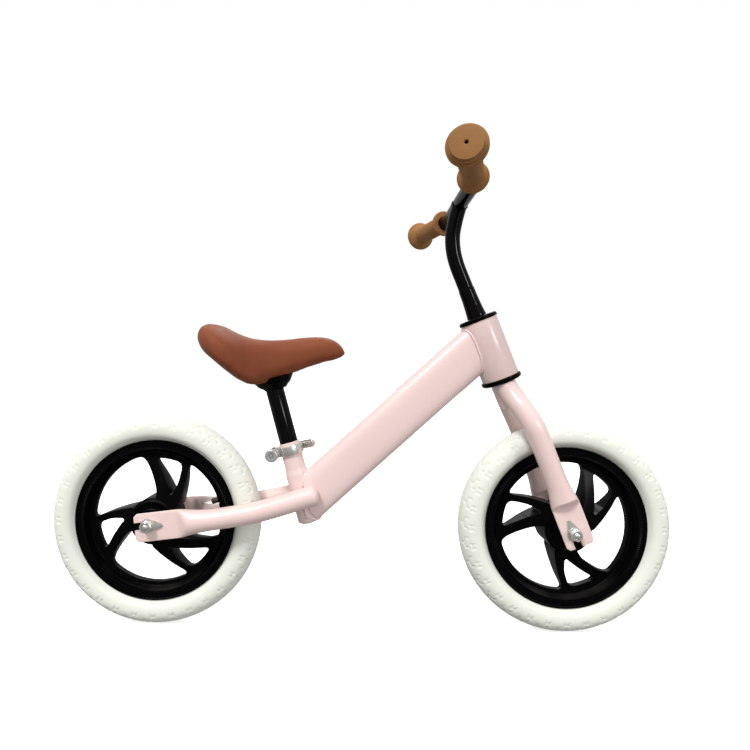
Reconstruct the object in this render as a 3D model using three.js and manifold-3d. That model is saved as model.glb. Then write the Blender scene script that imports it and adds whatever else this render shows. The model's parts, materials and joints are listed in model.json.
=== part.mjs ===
// A child's balance bike: frame, steering fork with bar, two wheels, seatpost with saddle and a
// quick-release seat clamp. Millimetres, +X forward, +Y to the rider's left, +Z up. The origin is on
// the ground, midway between the axles.
import * as THREE from 'three';
import { mergeVertices } from 'three/addons/utils/BufferGeometryUtils.js';
import Module from 'manifold-3d';

// Driving dimensions.
const WHEELBASE = 565;
const WHEEL_RADIUS = 145;
const AXLE_HEIGHT = 145;
const DROPOUT_Y = 38.5;
const PLATE_THICKNESS = 4;
const PLATE_WIDTH = 38;
const GAP = 0.3;
const WALL = 1.6;

const STEERING_LEAN = THREE.MathUtils.degToRad(22.1);
const HEAD_BOTTOM = new THREE.Vector3(193.5, 0, 349.2);
const HEAD_LENGTH = 84;
const HEAD_RADIUS = 25.4;
const STEERER_RADIUS = 14.3;
const BLADE_RADIUS = 14;
const BLADE_FORWARD = 9;

const SEAT_LEAN = THREE.MathUtils.degToRad(15.9);
const SEAT_TUBE_BOTTOM = new THREE.Vector3(-69.5, 0, 143.5);
const SEAT_TUBE_LENGTH = 115;
const SEAT_TUBE_RADIUS = 14.3;
const SEAT_TUBE_LOW_RADIUS = 15.9;
const SEATPOST_RADIUS = 12.7;
const SEATPOST_FOOT = 48;
const SEATPOST_TOP = 192;
const STAY_RADIUS = 14;

const DOWN_TUBE_HEIGHT = 61.5;
const DOWN_TUBE_WIDTH = 34;
const DOWN_TUBE_LOW = new THREE.Vector3(-77.4, 0, 171.3);
const DOWN_TUBE_HIGH = new THREE.Vector3(187, 0, 415.3);

const BAR_RADIUS = 10.4;
const BAR_CENTRE = [133, 591];
const BAR_CORNER_Y = 86;
const BAR_END = [99.3, 199, 592.8];

const AXLE_RADIUS = 4.5;
const AXLE_HALF_LENGTH = 53.5;
const NUT_ACROSS_FLATS = 14;
const HUB_HALF_WIDTH = 27.5;
const HUB_RADIUS = 29;
const RIM_HALF_WIDTH = 15;
const RIM_EDGE_RADIUS = 110.5;
const LARGE_GAP_RADIUS = 88.5;
const SMALL_GAP_RADIUS = 84;
const SPOKE_PAIRS = 3;
const REAR_RIM_TURN = 0;
const FRONT_RIM_TURN = -30;
const REAR_VALVE_ANGLE = 17.5;
const FRONT_VALVE_ANGLE = 107.5;

const PINK = { color: 0xe8cdca, roughness: 0.4, metalness: 0.1 };
const BLACK_PLASTIC = { color: 0x0c0c0d, roughness: 0.25, metalness: 0 };
const BLACK_STEEL = { color: 0x0d0e0e, roughness: 0.2, metalness: 0.3 };
const CHROME = { color: 0xc9c8c2, roughness: 0.25, metalness: 1 };
const TYRE_WHITE = { color: 0xeeede2, roughness: 0.75, metalness: 0 };
const TUBE_BLACK = { color: 0x1b1b1c, roughness: 0.6, metalness: 0 };
const TAN_RUBBER = { color: 0x9c7246, roughness: 0.6, metalness: 0 };
const BROWN_VINYL = { color: 0x8a4c32, roughness: 0.5, metalness: 0 };

const wasm = await Module();
wasm.setup();

// Merges shared vertices and drops the flat triangles that poles leave.
function clean(geometry) {
  const bare = geometry.clone();
  bare.deleteAttribute('normal');
  bare.deleteAttribute('uv');
  bare.clearGroups();
  const merged = mergeVertices(bare, 1e-4);
  const source = merged.index.array;
  const kept = [];
  for (let i = 0; i < source.length; i += 3) {
    const [a, b, c] = [source[i], source[i + 1], source[i + 2]];
    if (a !== b && b !== c && c !== a) kept.push(a, b, c);
  }
  merged.setIndex(kept);
  return merged;
}

function toSolid(geometry) {
  const merged = clean(geometry);
  const vertProperties = new Float32Array(merged.attributes.position.array);
  const triVerts = new Uint32Array(merged.index.array);
  return new wasm.Manifold(new wasm.Mesh({ numProp: 3, vertProperties, triVerts }));
}

function toGeometry(solid) {
  const mesh = solid.getMesh();
  const geometry = new THREE.BufferGeometry();
  geometry.setAttribute('position', new THREE.BufferAttribute(mesh.vertProperties, 3));
  geometry.setIndex(new THREE.BufferAttribute(mesh.triVerts, 1));
  return geometry;
}

function cut(geometry, ...cutters) {
  let solid = toSolid(geometry);
  for (const cutter of cutters) solid = solid.subtract(toSolid(cutter));
  return toGeometry(solid);
}

function join(geometry, ...others) {
  let solid = toSolid(geometry);
  for (const other of others) solid = solid.add(toSolid(other));
  return toGeometry(solid);
}

function part(name, geometry, finish) {
  const material = new THREE.MeshStandardMaterial(finish);
  const mesh = new THREE.Mesh(clean(geometry), material);
  mesh.name = name;
  return mesh;
}

// A ring or disc turned round the local Y axis from [radius, height] corners.
function turned(corners, segments) {
  const points = corners.map(([radius, height]) => new THREE.Vector2(radius, height));
  if (THREE.ShapeUtils.isClockWise(points)) points.reverse();
  const open = corners[0][0] > 0 || corners[corners.length - 1][0] > 0;
  if (open) points.push(points[0].clone());
  return new THREE.LatheGeometry(points, segments);
}

// The same, turned round the local Z axis.
function turnedUp(corners, segments) {
  return turned(corners, segments).rotateX(Math.PI / 2);
}

// A rectangular ring round Z between two radii and two heights.
function sleeve(inner, outer, low, high, segments = 20) {
  return turnedUp([[inner, low], [outer, low], [outer, high], [inner, high]], segments);
}

function rod(radius, low, high, segments = 20) {
  const length = high - low;
  const shape = new THREE.CylinderGeometry(radius, radius, length, segments);
  return shape.rotateX(Math.PI / 2).translate(0, 0, (low + high) / 2);
}

// A cylinder whose rings follow a curve. section(s) gives the half sizes [normal, side] of the ring
// at the curve's parameter s, and a squareness from 1, round, to 0, a sharp rectangle.
function swept(curve, steps, sides, side, section) {
  const shape = new THREE.CylinderGeometry(1, 1, 1, sides, steps);
  const position = shape.attributes.position;
  for (let i = 0; i < position.count; i += 1) {
    const s = THREE.MathUtils.clamp(0.5 - position.getY(i), 0, 1);
    const tangent = curve.getTangent(s);
    const across = side.clone().addScaledVector(tangent, -side.dot(tangent)).normalize();
    const normal = new THREE.Vector3().crossVectors(across, tangent);
    const [halfNormal, halfSide, squareness] = section(s);
    const x = position.getX(i);
    const z = position.getZ(i);
    const power = (value) => {
      if (Math.abs(value) < 1e-6) return 0;
      return Math.sign(value) * Math.abs(value) ** squareness;
    };
    const point = curve.getPoint(s);
    point.addScaledVector(normal, halfNormal * power(x));
    point.addScaledVector(across, halfSide * power(z));
    position.setXYZ(i, point.x, point.y, point.z);
  }
  return shape;
}

const round = (radius) => () => [radius, radius, 1];
const smooth = (s) => s * s * (3 - 2 * s);

// Blends a round tube into a flat plate between two parameters of its curve. It widens all the way
// and is pinched flat only near the end.
function flattening(radius, halfWidth, halfThickness, from, to) {
  return (s) => {
    const k = THREE.MathUtils.clamp((s - from) / (to - from), 0, 1);
    const pinch = smooth(THREE.MathUtils.clamp((k - 0.3) / 0.7, 0, 1));
    const mix = (a, b, share) => a + (b - a) * share;
    return [mix(radius, halfWidth, smooth(k)), mix(radius, halfThickness, pinch), mix(1, 0.3, pinch)];
  };
}

function spline(points) {
  const vectors = points.map(([x, y, z]) => new THREE.Vector3(x, y, z));
  return new THREE.CatmullRomCurve3(vectors, false, 'centripetal');
}

const SIDEWAYS = new THREE.Vector3(0, 1, 0);

// Leaning groups: their Z axis runs up the steering axis and up the seat tube.
function leaningGroup(origin, lean) {
  const group = new THREE.Group();
  group.position.copy(origin);
  group.rotation.y = -lean;
  return group;
}

// A point of the bike's centre plane in a leaning group's frame, as [forward, up].
function leaningPoint(origin, lean, x, z) {
  const [dx, dz] = [x - origin.x, z - origin.z];
  const forward = dx * Math.cos(lean) + dz * Math.sin(lean);
  const up = dz * Math.cos(lean) - dx * Math.sin(lean);
  return [forward, up];
}

const steeringPoint = (x, z) => leaningPoint(HEAD_BOTTOM, STEERING_LEAN, x, z);
const FRONT_AXLE = steeringPoint(WHEELBASE / 2, AXLE_HEIGHT);

// An upright cylinder of a leaning group, placed in the bike's frame as a cutter.
function leaningRod(origin, lean, radius, low, high) {
  const shape = rod(radius, low, high, 32).rotateY(-lean);
  return shape.translate(origin.x, origin.y, origin.z);
}

// The axle slot of a dropout: a round seat at the axle, open along an angle from the local X axis.
function axleSlot(x, z, angle) {
  const width = 2 * AXLE_RADIUS + 1.2;
  const seat = new THREE.CylinderGeometry(width / 2, width / 2, 30, 20).translate(x, 0, z);
  const reach = 60;
  const channel = new THREE.BoxGeometry(reach, 30, width).translate(reach / 2, 0, 0);
  channel.rotateY(-angle).translate(x, 0, z);
  return [seat, channel];
}

const bike = new THREE.Group();

// ---- Wheels ------------------------------------------------------------------------------------

const RIM_SEGMENTS = 24;
const TYRE_SEGMENTS = 32;
const OUTLINE_SEGMENTS = 2;

const polar = (radius, degrees) => {
  const angle = THREE.MathUtils.degToRad(degrees);
  return new THREE.Vector2(radius * Math.cos(angle), radius * Math.sin(angle));
};

// An opening through the moulding, from an outline in the wheel's plane seen from its right side.
function opening(outline, turn) {
  const depth = 80;
  const options = { depth, bevelEnabled: false, curveSegments: OUTLINE_SEGMENTS };
  const shape = new THREE.ExtrudeGeometry(outline, options);
  shape.rotateZ(THREE.MathUtils.degToRad(turn));
  return shape.translate(0, 0, -depth / 2).rotateX(Math.PI / 2);
}

// The large opening between two spoke pairs.
function largeGap() {
  const rad = THREE.MathUtils.degToRad;
  const outline = new THREE.Shape();
  const start = polar(32, 84);
  outline.moveTo(start.x, start.y);
  const followingArm = [polar(35.9, 150.2), polar(48, 162.2), polar(65.9, 172.4), polar(80, 178.2)];
  outline.absarc(0, 0, 32, rad(84), rad(148), false);
  outline.splineThru(followingArm);
  const corner = polar(LARGE_GAP_RADIUS, 175.5);
  outline.quadraticCurveTo(...polar(LARGE_GAP_RADIUS, 179.3).toArray(), corner.x, corner.y);
  outline.absarc(0, 0, LARGE_GAP_RADIUS, rad(175.5), rad(108), true);
  const leading = polar(84, 103);
  outline.quadraticCurveTo(...polar(LARGE_GAP_RADIUS, 105).toArray(), leading.x, leading.y);
  outline.splineThru([polar(79.5, 100.8), polar(61.3, 94.6), polar(43.1, 87.2), start]);
  return outline;
}

// The small opening inside a spoke pair.
function smallGap() {
  const rad = THREE.MathUtils.degToRad;
  const outline = new THREE.Shape();
  const tip = polar(43, 62);
  outline.moveTo(tip.x, tip.y);
  outline.quadraticCurveTo(...polar(38, 58).toArray(), ...polar(44, 56.5).toArray());
  outline.splineThru([polar(60, 59.5), polar(74, 63.5)]);
  outline.quadraticCurveTo(...polar(83, 66).toArray(), ...polar(SMALL_GAP_RADIUS, 71).toArray());
  outline.absarc(0, 0, SMALL_GAP_RADIUS, rad(71), rad(89), false);
  outline.quadraticCurveTo(...polar(SMALL_GAP_RADIUS, 93).toArray(), ...polar(78, 89.5).toArray());
  outline.splineThru([polar(60, 79.5), tip]);
  return outline;
}

// Half of the moulding's section, as [radius, y]: bearing seat, hub, thin web, flange and tyre seat.
const RIM_HALF = [
  [10.5, 20], [12.3, 20], [12.3, HUB_HALF_WIDTH], [HUB_RADIUS, HUB_HALF_WIDTH], [HUB_RADIUS, 22], [84, 4.5],
  [94, 4.5], [97.4, 13.6], [99, RIM_HALF_WIDTH], [RIM_EDGE_RADIUS, RIM_HALF_WIDTH], [RIM_EDGE_RADIUS, 12.7],
  [100, 12.3], [97.5, 6.5],
];

const mirrored = (half) => {
  const back = [...half].reverse();
  return [...back.map(([radius, y]) => [radius, -y]), ...half];
};

function valveHole(degrees, radius) {
  const hole = new THREE.CylinderGeometry(radius, radius, 60, 12).rotateZ(-Math.PI / 2);
  hole.translate(90, 0, 0).rotateY(-THREE.MathUtils.degToRad(degrees));
  return hole;
}

function rimMoulding(turn, valveAngle) {
  const gaps = [];
  for (let pair = 0; pair < SPOKE_PAIRS; pair += 1) {
    const degrees = turn + pair * (360 / SPOKE_PAIRS);
    gaps.push(opening(largeGap(), degrees), opening(smallGap(), degrees));
  }
  return cut(turned(mirrored(RIM_HALF), RIM_SEGMENTS), ...gaps, valveHole(valveAngle, 5));
}

const TYRE_OUTER_HALF = [
  [WHEEL_RADIUS, 0], [142.8, 10.5], [135.5, 18.5], [125, 21.5], [115, 18.5], [110.9, 12.3], [101, 11.8],
];
const TYRE_INNER_HALF = [[101, 8.8], [111, 9], [122, 17.5], [138.5, 9]];

function tyreCarcass() {
  const half = [...TYRE_OUTER_HALF, ...TYRE_INNER_HALF];
  const otherSide = half.slice(1).reverse().map(([radius, y]) => [radius, -y]);
  return turned([...half, ...otherSide], TYRE_SEGMENTS);
}

function innerTube(valveAngle) {
  const ring = (radius) => new THREE.TorusGeometry(125, radius, 8, 20).rotateX(Math.PI / 2);
  const throat = new THREE.CylinderGeometry(2.2, 2.2, 12, 8).rotateZ(-Math.PI / 2);
  throat.translate(113, 0, 0).rotateY(-THREE.MathUtils.degToRad(valveAngle));
  return cut(ring(12.4), ring(11), throat);
}

function valveStem(valveAngle) {
  const stem = turned([
    [0, 78.5], [4, 79.3], [4, 90], [3, 90.5], [3, 107], [4.2, 107.5], [4.2, 111.6], [0, 111.6],
  ], 12);
  return stem.rotateZ(-Math.PI / 2).rotateY(-THREE.MathUtils.degToRad(valveAngle));
}

function bearingRing(inner, outer, halfWidth) {
  return turned([[inner, -halfWidth], [outer, -halfWidth], [outer, halfWidth], [inner, halfWidth]], 16);
}

function addWheel(end, x, turn, valveAngle) {
  const wheel = new THREE.Group();
  wheel.position.set(x, 0, AXLE_HEIGHT);
  wheel.add(part(`${end}_tyre`, tyreCarcass(), TYRE_WHITE));
  wheel.add(part(`${end}_inner_tube`, innerTube(valveAngle), TUBE_BLACK));
  wheel.add(part(`${end}_valve`, valveStem(valveAngle), TUBE_BLACK));
  wheel.add(part(`${end}_rim`, rimMoulding(turn, valveAngle), BLACK_PLASTIC));
  for (const [side, sign] of [['right', -1], ['left', 1]]) {
    const bearing = part(`${end}_bearing_${side}`, bearingRing(AXLE_RADIUS + 0.14, 12, 3.5), CHROME);
    bearing.position.y = sign * 23.8;
    wheel.add(bearing);
  }
  bike.add(wheel);
}

addWheel('rear', -WHEELBASE / 2, REAR_RIM_TURN, REAR_VALVE_ANGLE);
addWheel('front', WHEELBASE / 2, FRONT_RIM_TURN, FRONT_VALVE_ANGLE);

// ---- Axle hardware -----------------------------------------------------------------------------

// A teardrop plate on the axle, with its narrow end at hookAngle from the local X axis.
function hookWasher(hookAngle) {
  const outline = new THREE.Shape();
  const hookReach = 17;
  outline.absarc(0, 0, 9.5, Math.PI * 0.3, Math.PI * 1.7, false);
  outline.absarc(hookReach, 0, 3, -Math.PI * 0.4, Math.PI * 0.4, false);
  outline.closePath();
  const hole = new THREE.Path();
  hole.absarc(0, 0, AXLE_RADIUS + GAP, 0, Math.PI * 2, true);
  outline.holes.push(hole);
  const plate = new THREE.ExtrudeGeometry(outline, { depth: 1.6, bevelEnabled: false, curveSegments: 6 });
  return plate.rotateZ(hookAngle).translate(0, 0, -0.8).rotateX(Math.PI / 2);
}

function axleNut() {
  const outline = new THREE.Shape();
  const corner = NUT_ACROSS_FLATS / Math.sqrt(3);
  for (let i = 0; i < 6; i += 1) {
    const angle = (i * Math.PI) / 3;
    outline.lineTo(corner * Math.cos(angle), corner * Math.sin(angle));
  }
  outline.curves.shift();
  outline.closePath();
  const hole = new THREE.Path();
  hole.absarc(0, 0, AXLE_RADIUS + GAP, 0, Math.PI * 2, true);
  outline.holes.push(hole);
  const body = new THREE.ExtrudeGeometry(outline, { depth: 9, bevelEnabled: false, curveSegments: 6 });
  return body.translate(0, 0, -4.5).rotateX(Math.PI / 2);
}

// The axle, spacers, washers and nuts of one wheel, in the frame of the group that holds them.
function addAxleSet(holder, end, x, z, hookAngle) {
  const axle = new THREE.CylinderGeometry(AXLE_RADIUS, AXLE_RADIUS, 2 * AXLE_HALF_LENGTH, 16);
  const rodMesh = part(`${end}_axle`, axle, CHROME);
  rodMesh.position.set(x, 0, z);
  holder.add(rodMesh);
  const plateFace = DROPOUT_Y + PLATE_THICKNESS / 2;
  for (const [side, sign] of [['right', -1], ['left', 1]]) {
    const inner = HUB_HALF_WIDTH + GAP;
    const outer = DROPOUT_Y - PLATE_THICKNESS / 2 - GAP;
    const spacer = bearingRing(AXLE_RADIUS + GAP, 7, (outer - inner) / 2);
    const pieces = [
      [`${end}_axle_spacer_${side}`, spacer, (outer + inner) / 2],
      [`${end}_washer_${side}`, hookWasher(hookAngle), plateFace + GAP + 0.8],
      [`${end}_nut_${side}`, axleNut(), plateFace + 2 * GAP + 1.6 + 4.5],
    ];
    for (const [name, geometry, offset] of pieces) {
      const mesh = part(name, geometry, CHROME);
      mesh.position.set(x, sign * offset, z);
      holder.add(mesh);
    }
  }
}

// ---- Frame -------------------------------------------------------------------------------------

const head = leaningGroup(HEAD_BOTTOM, STEERING_LEAN);
bike.add(head);
head.add(part('head_tube', sleeve(23, HEAD_RADIUS, 0, HEAD_LENGTH, 24), PINK));

// Upper and lower cups: a flange outside the tube and a skirt pressed into it.
const upperCup = turnedUp([
  [15, HEAD_LENGTH + 6], [15, HEAD_LENGTH + 1], [20.6, HEAD_LENGTH + 1], [20.6, HEAD_LENGTH - 12],
  [22.6, HEAD_LENGTH - 12], [22.6, HEAD_LENGTH + GAP], [26.7, HEAD_LENGTH + GAP],
  [26.7, HEAD_LENGTH + 6],
], 24);
const lowerCup = turnedUp([
  [15, -6.6], [27.7, -6.6], [27.7, -GAP], [22.6, -GAP], [22.6, 12], [20.6, 12], [20.6, -1.6], [15, -1.6],
], 24);
head.add(part('headset_upper_cup', upperCup, BLACK_PLASTIC));
head.add(part('headset_lower_cup', lowerCup, BLACK_PLASTIC));
head.add(part('headset_upper_bearing', sleeve(15, 20.2, HEAD_LENGTH - 9, HEAD_LENGTH - 2), CHROME));
head.add(part('headset_lower_bearing', sleeve(15, 20.2, 2, 9), CHROME));

const seat = leaningGroup(SEAT_TUBE_BOTTOM, SEAT_LEAN);
bike.add(seat);
const seatBore = SEATPOST_RADIUS + 0.1;
const seatTube = turnedUp([
  [0, 0], [12.5, 0], [SEAT_TUBE_LOW_RADIUS, 3], [SEAT_TUBE_LOW_RADIUS, 70],
  [SEAT_TUBE_RADIUS, 77], [SEAT_TUBE_RADIUS, SEAT_TUBE_LENGTH], [seatBore, SEAT_TUBE_LENGTH],
  [seatBore, 3], [0, 3],
], 20);
seat.add(part('seat_tube', seatTube, PINK));

// The down tube: a wide rounded box section mitred to the head tube and the seat tube.
const downLine = new THREE.LineCurve3(DOWN_TUBE_LOW, DOWN_TUBE_HIGH);
const downSection = (inset) => () => [DOWN_TUBE_HEIGHT / 2 - inset, DOWN_TUBE_WIDTH / 2 - inset, 0.62];
const longDownLine = new THREE.LineCurve3(downLine.getPoint(-0.1), downLine.getPoint(1.1));
const headMitre = leaningRod(HEAD_BOTTOM, STEERING_LEAN, HEAD_RADIUS + GAP, -60, 160);
const seatMitre = leaningRod(SEAT_TUBE_BOTTOM, SEAT_LEAN, SEAT_TUBE_LOW_RADIUS + GAP, -60, 160);
const beyondHead = new THREE.BoxGeometry(100, 100, 300).translate(50, 0, 40).rotateY(-STEERING_LEAN);
beyondHead.translate(HEAD_BOTTOM.x, 0, HEAD_BOTTOM.z);
const behindSeat = new THREE.BoxGeometry(100, 100, 300).translate(-44, 0, 40).rotateY(-SEAT_LEAN);
behindSeat.translate(SEAT_TUBE_BOTTOM.x, 0, SEAT_TUBE_BOTTOM.z);
const downTube = cut(
  swept(downLine, 1, 24, SIDEWAYS, downSection(0)),
  swept(longDownLine, 1, 16, SIDEWAYS, downSection(1.8)),
  headMitre, beyondHead, seatMitre, behindSeat,
);
bike.add(part('down_tube', downTube, PINK));

// The chainstays run from the sides of the tube junction round the tyre to flat dropouts.
const REAR_PLATE_FROM = 245;
const REAR_PLATE_TILT = THREE.MathUtils.degToRad(8.4);
const stayPoints = (sign) => [
  [-57, sign * 21, 186], [-80, sign * 24.5, 180], [-110, sign * 30.5, 171.5], [-140, sign * 36, 164],
  [-170, sign * 38.3, 158.5], [-200, sign * DROPOUT_Y, 153.5], [-218, sign * DROPOUT_Y, 151],
  [-232, sign * DROPOUT_Y, 149.3], [-REAR_PLATE_FROM, sign * DROPOUT_Y, 147.5], [-300, sign * DROPOUT_Y, 140],
];
const STAY_HOLLOW_POINTS = 6;
const stayPath = (sign) => spline(stayPoints(sign));
const STAY_SPANS = stayPoints(1).length - 1;
const stayFlat = flattening(
  STAY_RADIUS,
  PLATE_WIDTH / 2,
  PLATE_THICKNESS / 2,
  (STAY_SPANS - 3.5) / STAY_SPANS,
  (STAY_SPANS - 1) / STAY_SPANS,
);
const nosed = (section, reach) => (s) => {
  const k = Math.sqrt(1 - (1 - THREE.MathUtils.clamp(s / reach, 0.12, 1)) ** 2);
  const [a, b, squareness] = section(s);
  return [a * k, b * k, squareness];
};

function chainstay(sign) {
  const body = swept(stayPath(sign), 2 * STAY_SPANS, 14, SIDEWAYS, nosed(stayFlat, 0.06));
  const hollowStart = [-66, sign * 22.5, 183.6];
  const hollowPath = spline([hollowStart, ...stayPoints(sign).slice(1, STAY_HOLLOW_POINTS)]);
  const hollow = swept(hollowPath, 8, 10, SIDEWAYS, nosed(round(STAY_RADIUS - WALL), 0.12));
  const slot = axleSlot(-WHEELBASE / 2, AXLE_HEIGHT, Math.PI + REAR_PLATE_TILT);
  const hookHole = new THREE.CylinderGeometry(2.2, 2.2, 30, 12);
  hookHole.translate(-WHEELBASE / 2 + 17, sign * DROPOUT_Y, AXLE_HEIGHT + 1);
  const junction = new THREE.BoxGeometry(80, 60, 200);
  junction.translate(-58, sign * (DOWN_TUBE_WIDTH / 2 + GAP - 30), 180);
  return cut(body, hollow, junction, hookHole, ...slot.map((g) => g.translate(0, sign * DROPOUT_Y, 0)));
}

bike.add(part('chainstay_right', chainstay(-1), PINK));
bike.add(part('chainstay_left', chainstay(1), PINK));
addAxleSet(bike, 'rear', -WHEELBASE / 2, AXLE_HEIGHT, THREE.MathUtils.degToRad(3));

// ---- Seat clamp --------------------------------------------------------------------------------

const CLAMP_LOW = 98;
const CLAMP_HIGH = 110.4;
const CLAMP_MIDDLE = (CLAMP_LOW + CLAMP_HIGH) / 2;
const SKEWER_X = -25;
const EAR_HALF = 8;

// The collar: a split ring with two ears behind the tube, crossed by the skewer.
const collarRing = sleeve(SEAT_TUBE_RADIUS + GAP, 17.4, CLAMP_LOW, CLAMP_HIGH, 32);
const earBlock = new THREE.BoxGeometry(17, 2 * EAR_HALF, CLAMP_HIGH - CLAMP_LOW);
earBlock.translate(SKEWER_X + 2, 0, CLAMP_MIDDLE);
const collarBore = rod(SEAT_TUBE_RADIUS + GAP, CLAMP_LOW - 5, CLAMP_HIGH + 5, 32);
const collarSplit = new THREE.BoxGeometry(20, 2.4, 30).translate(SKEWER_X - 2, 0, CLAMP_MIDDLE);
const skewerHole = new THREE.CylinderGeometry(3, 3, 40, 16).translate(SKEWER_X - 1, 0, CLAMP_MIDDLE);
const collar = cut(join(collarRing, earBlock), collarBore, collarSplit, skewerHole);
seat.add(part('clamp_collar', collar, BLACK_STEEL));

const SKEWER_LEFT = 11.2;
const SKEWER_RIGHT = 19;
const skewer = new THREE.CylinderGeometry(2.6, 2.6, SKEWER_LEFT + SKEWER_RIGHT, 16);
const skewerMesh = part('clamp_skewer', skewer, CHROME);
skewerMesh.position.set(SKEWER_X - 1, (SKEWER_LEFT - SKEWER_RIGHT) / 2, CLAMP_MIDDLE);
seat.add(skewerMesh);

const nutRing = turned([[3, -5], [8.4, -5], [9.4, -3.5], [9.4, 3.5], [8.4, 5], [3, 5]], 24);
const clampNut = part('clamp_nut', nutRing, CHROME);
clampNut.position.set(SKEWER_X - 1, -(EAR_HALF + GAP + 5), CLAMP_MIDDLE);
seat.add(clampNut);

// The lever's cam turns on a pin that stands parallel to the seat tube, on the left of the collar.
const CAM_Y = 18;
const camWasher = turned([[3, -1.5], [7, -1.5], [7, 1.5], [3, 1.5]], 16);
const camSeat = part('clamp_cam_seat', camWasher, BLACK_PLASTIC);
camSeat.position.set(SKEWER_X - 1, EAR_HALF + GAP + 1.5, CLAMP_MIDDLE);
seat.add(camSeat);
const camPin = part('clamp_cam_pin', rod(2.4, -7.5, 7.5, 16), CHROME);
camPin.position.set(SKEWER_X - 1, CAM_Y, CLAMP_MIDDLE);
seat.add(camPin);

const leverPath = spline([
  [SKEWER_X - 1, CAM_Y, 0], [SKEWER_X + 9, CAM_Y + 4.5, 0], [-2, CAM_Y + 7, 0], [12, CAM_Y + 4, 0],
  [22, CAM_Y - 1, 0], [33, CAM_Y - 8, 0],
]);
const UPWARD = new THREE.Vector3(0, 0, 1);
const leverArm = swept(leverPath, 10, 10, UPWARD, (s) => [2.6 + 1.2 * (1 - s), 6, 0.6]);
const camHead = new THREE.CylinderGeometry(6.4, 6.4, 12, 16).rotateX(Math.PI / 2);
camHead.translate(SKEWER_X - 1, CAM_Y, 0);
const pinBore = new THREE.CylinderGeometry(2.46, 2.46, 40, 16).rotateX(Math.PI / 2);
pinBore.translate(SKEWER_X - 1, CAM_Y, 0);
const lever = part('clamp_lever', cut(join(leverArm, camHead), pinBore), CHROME);
lever.position.z = CLAMP_MIDDLE;
seat.add(lever);

// ---- Fork, bar and grips -----------------------------------------------------------------------

const fork = leaningGroup(HEAD_BOTTOM, STEERING_LEAN);
bike.add(fork);
const STEERER_LOW = -42;
const STEERER_BORE = 11.5;
const steerer = sleeve(STEERER_BORE, STEERER_RADIUS, STEERER_LOW, HEAD_LENGTH + 4, 24);
fork.add(part('steerer_tube', steerer, PINK));

const BLADE_PLATE_TOP = -188;
const BLADE_FOOT = -242.3;
const bladePoints = (sign) => [
  [0, sign * 6.5, 2], [0.3, sign * 10.5, -9], [1.5, sign * 17.5, -25], [5, sign * 30, -46],
  [8, sign * 37.5, -70], [BLADE_FORWARD, sign * DROPOUT_Y, -96], [BLADE_FORWARD, sign * DROPOUT_Y, -158],
  [BLADE_FORWARD, sign * DROPOUT_Y, -174], [BLADE_FORWARD, sign * DROPOUT_Y, BLADE_PLATE_TOP],
  [BLADE_FORWARD, sign * DROPOUT_Y, BLADE_FOOT],
];
const BLADE_HOLLOW_POINTS = 7;
const bladePath = (sign) => spline(bladePoints(sign));
const BLADE_SPANS = bladePoints(1).length - 1;
const bladeFlat = flattening(
  BLADE_RADIUS,
  PLATE_WIDTH / 2,
  PLATE_THICKNESS / 2,
  (BLADE_SPANS - 3) / BLADE_SPANS,
  (BLADE_SPANS - 1) / BLADE_SPANS,
);

function forkBlade(sign) {
  const body = swept(bladePath(sign), 2 * BLADE_SPANS, 14, SIDEWAYS, bladeFlat);
  const hollowPath = spline(bladePoints(sign).slice(0, BLADE_HOLLOW_POINTS));
  const hollow = swept(hollowPath, 10, 10, SIDEWAYS, round(BLADE_RADIUS - WALL));
  const steererCut = rod(STEERER_RADIUS + GAP, STEERER_LOW - 20, 20);
  const otherSide = new THREE.BoxGeometry(100, 60, 100).translate(0, -sign * 21, 8);
  const cupCut = new THREE.BoxGeometry(100, 100, 50).translate(0, 0, 25 - 7.2);
  const slot = axleSlot(FRONT_AXLE[0], FRONT_AXLE[1], -Math.PI / 2);
  const hookHole = new THREE.CylinderGeometry(2.2, 2.2, 30, 12);
  hookHole.translate(FRONT_AXLE[0], sign * DROPOUT_Y, FRONT_AXLE[1] + 17);
  const plateCuts = slot.map((g) => g.translate(0, sign * DROPOUT_Y, 0));
  return cut(body, hollow, steererCut, otherSide, cupCut, hookHole, ...plateCuts);
}

fork.add(part('fork_blade_right', forkBlade(-1), PINK));
fork.add(part('fork_blade_left', forkBlade(1), PINK));
addAxleSet(fork, 'front', FRONT_AXLE[0], FRONT_AXLE[1], Math.PI / 2);

// The stem tube: a quill inside the steerer, straight up, then bent forward under the crossbar.
const QUILL_FOOT = 34;
const barCentre = steeringPoint(...BAR_CENTRE);
const stemPath = spline([
  [0, 0, QUILL_FOOT], [0, 0, 90], [0, 0, 145], [0, 0, 168], [2.5, 0, 188],
  [9, 0, 208], [20, 0, 226.5], [barCentre[0], 0, barCentre[1]],
]);
const stemBase = HEAD_LENGTH + 6 + GAP;
const barEndPoint = steeringPoint(BAR_END[0], BAR_END[2]);
const barEnd = (sign) => new THREE.Vector3(barEndPoint[0], sign * BAR_END[1], barEndPoint[1]);
const barCorner = (sign) => new THREE.Vector3(barCentre[0], sign * BAR_CORNER_Y, barCentre[1]);
const barDirection = (sign) => barEnd(sign).sub(barCorner(sign)).normalize();
const GRIP_END_WALL = 3;

function barCurve() {
  const curve = [];
  for (const sign of [-1, 1]) {
    const along = (reach) => barCorner(sign).addScaledVector(barDirection(sign), reach);
    const inward = (reach) => barCorner(sign).setY(sign * (BAR_CORNER_Y - reach));
    const bend = inward(5).add(along(5)).multiplyScalar(0.5);
    const tip = barEnd(sign).addScaledVector(barDirection(sign), -GRIP_END_WALL - GAP);
    const half = [inward(50), inward(15), bend, along(15), along(50), tip];
    curve.push(...(sign < 0 ? half.reverse() : half));
  }
  return new THREE.CatmullRomCurve3(curve, false, 'centripetal');
}

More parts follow.
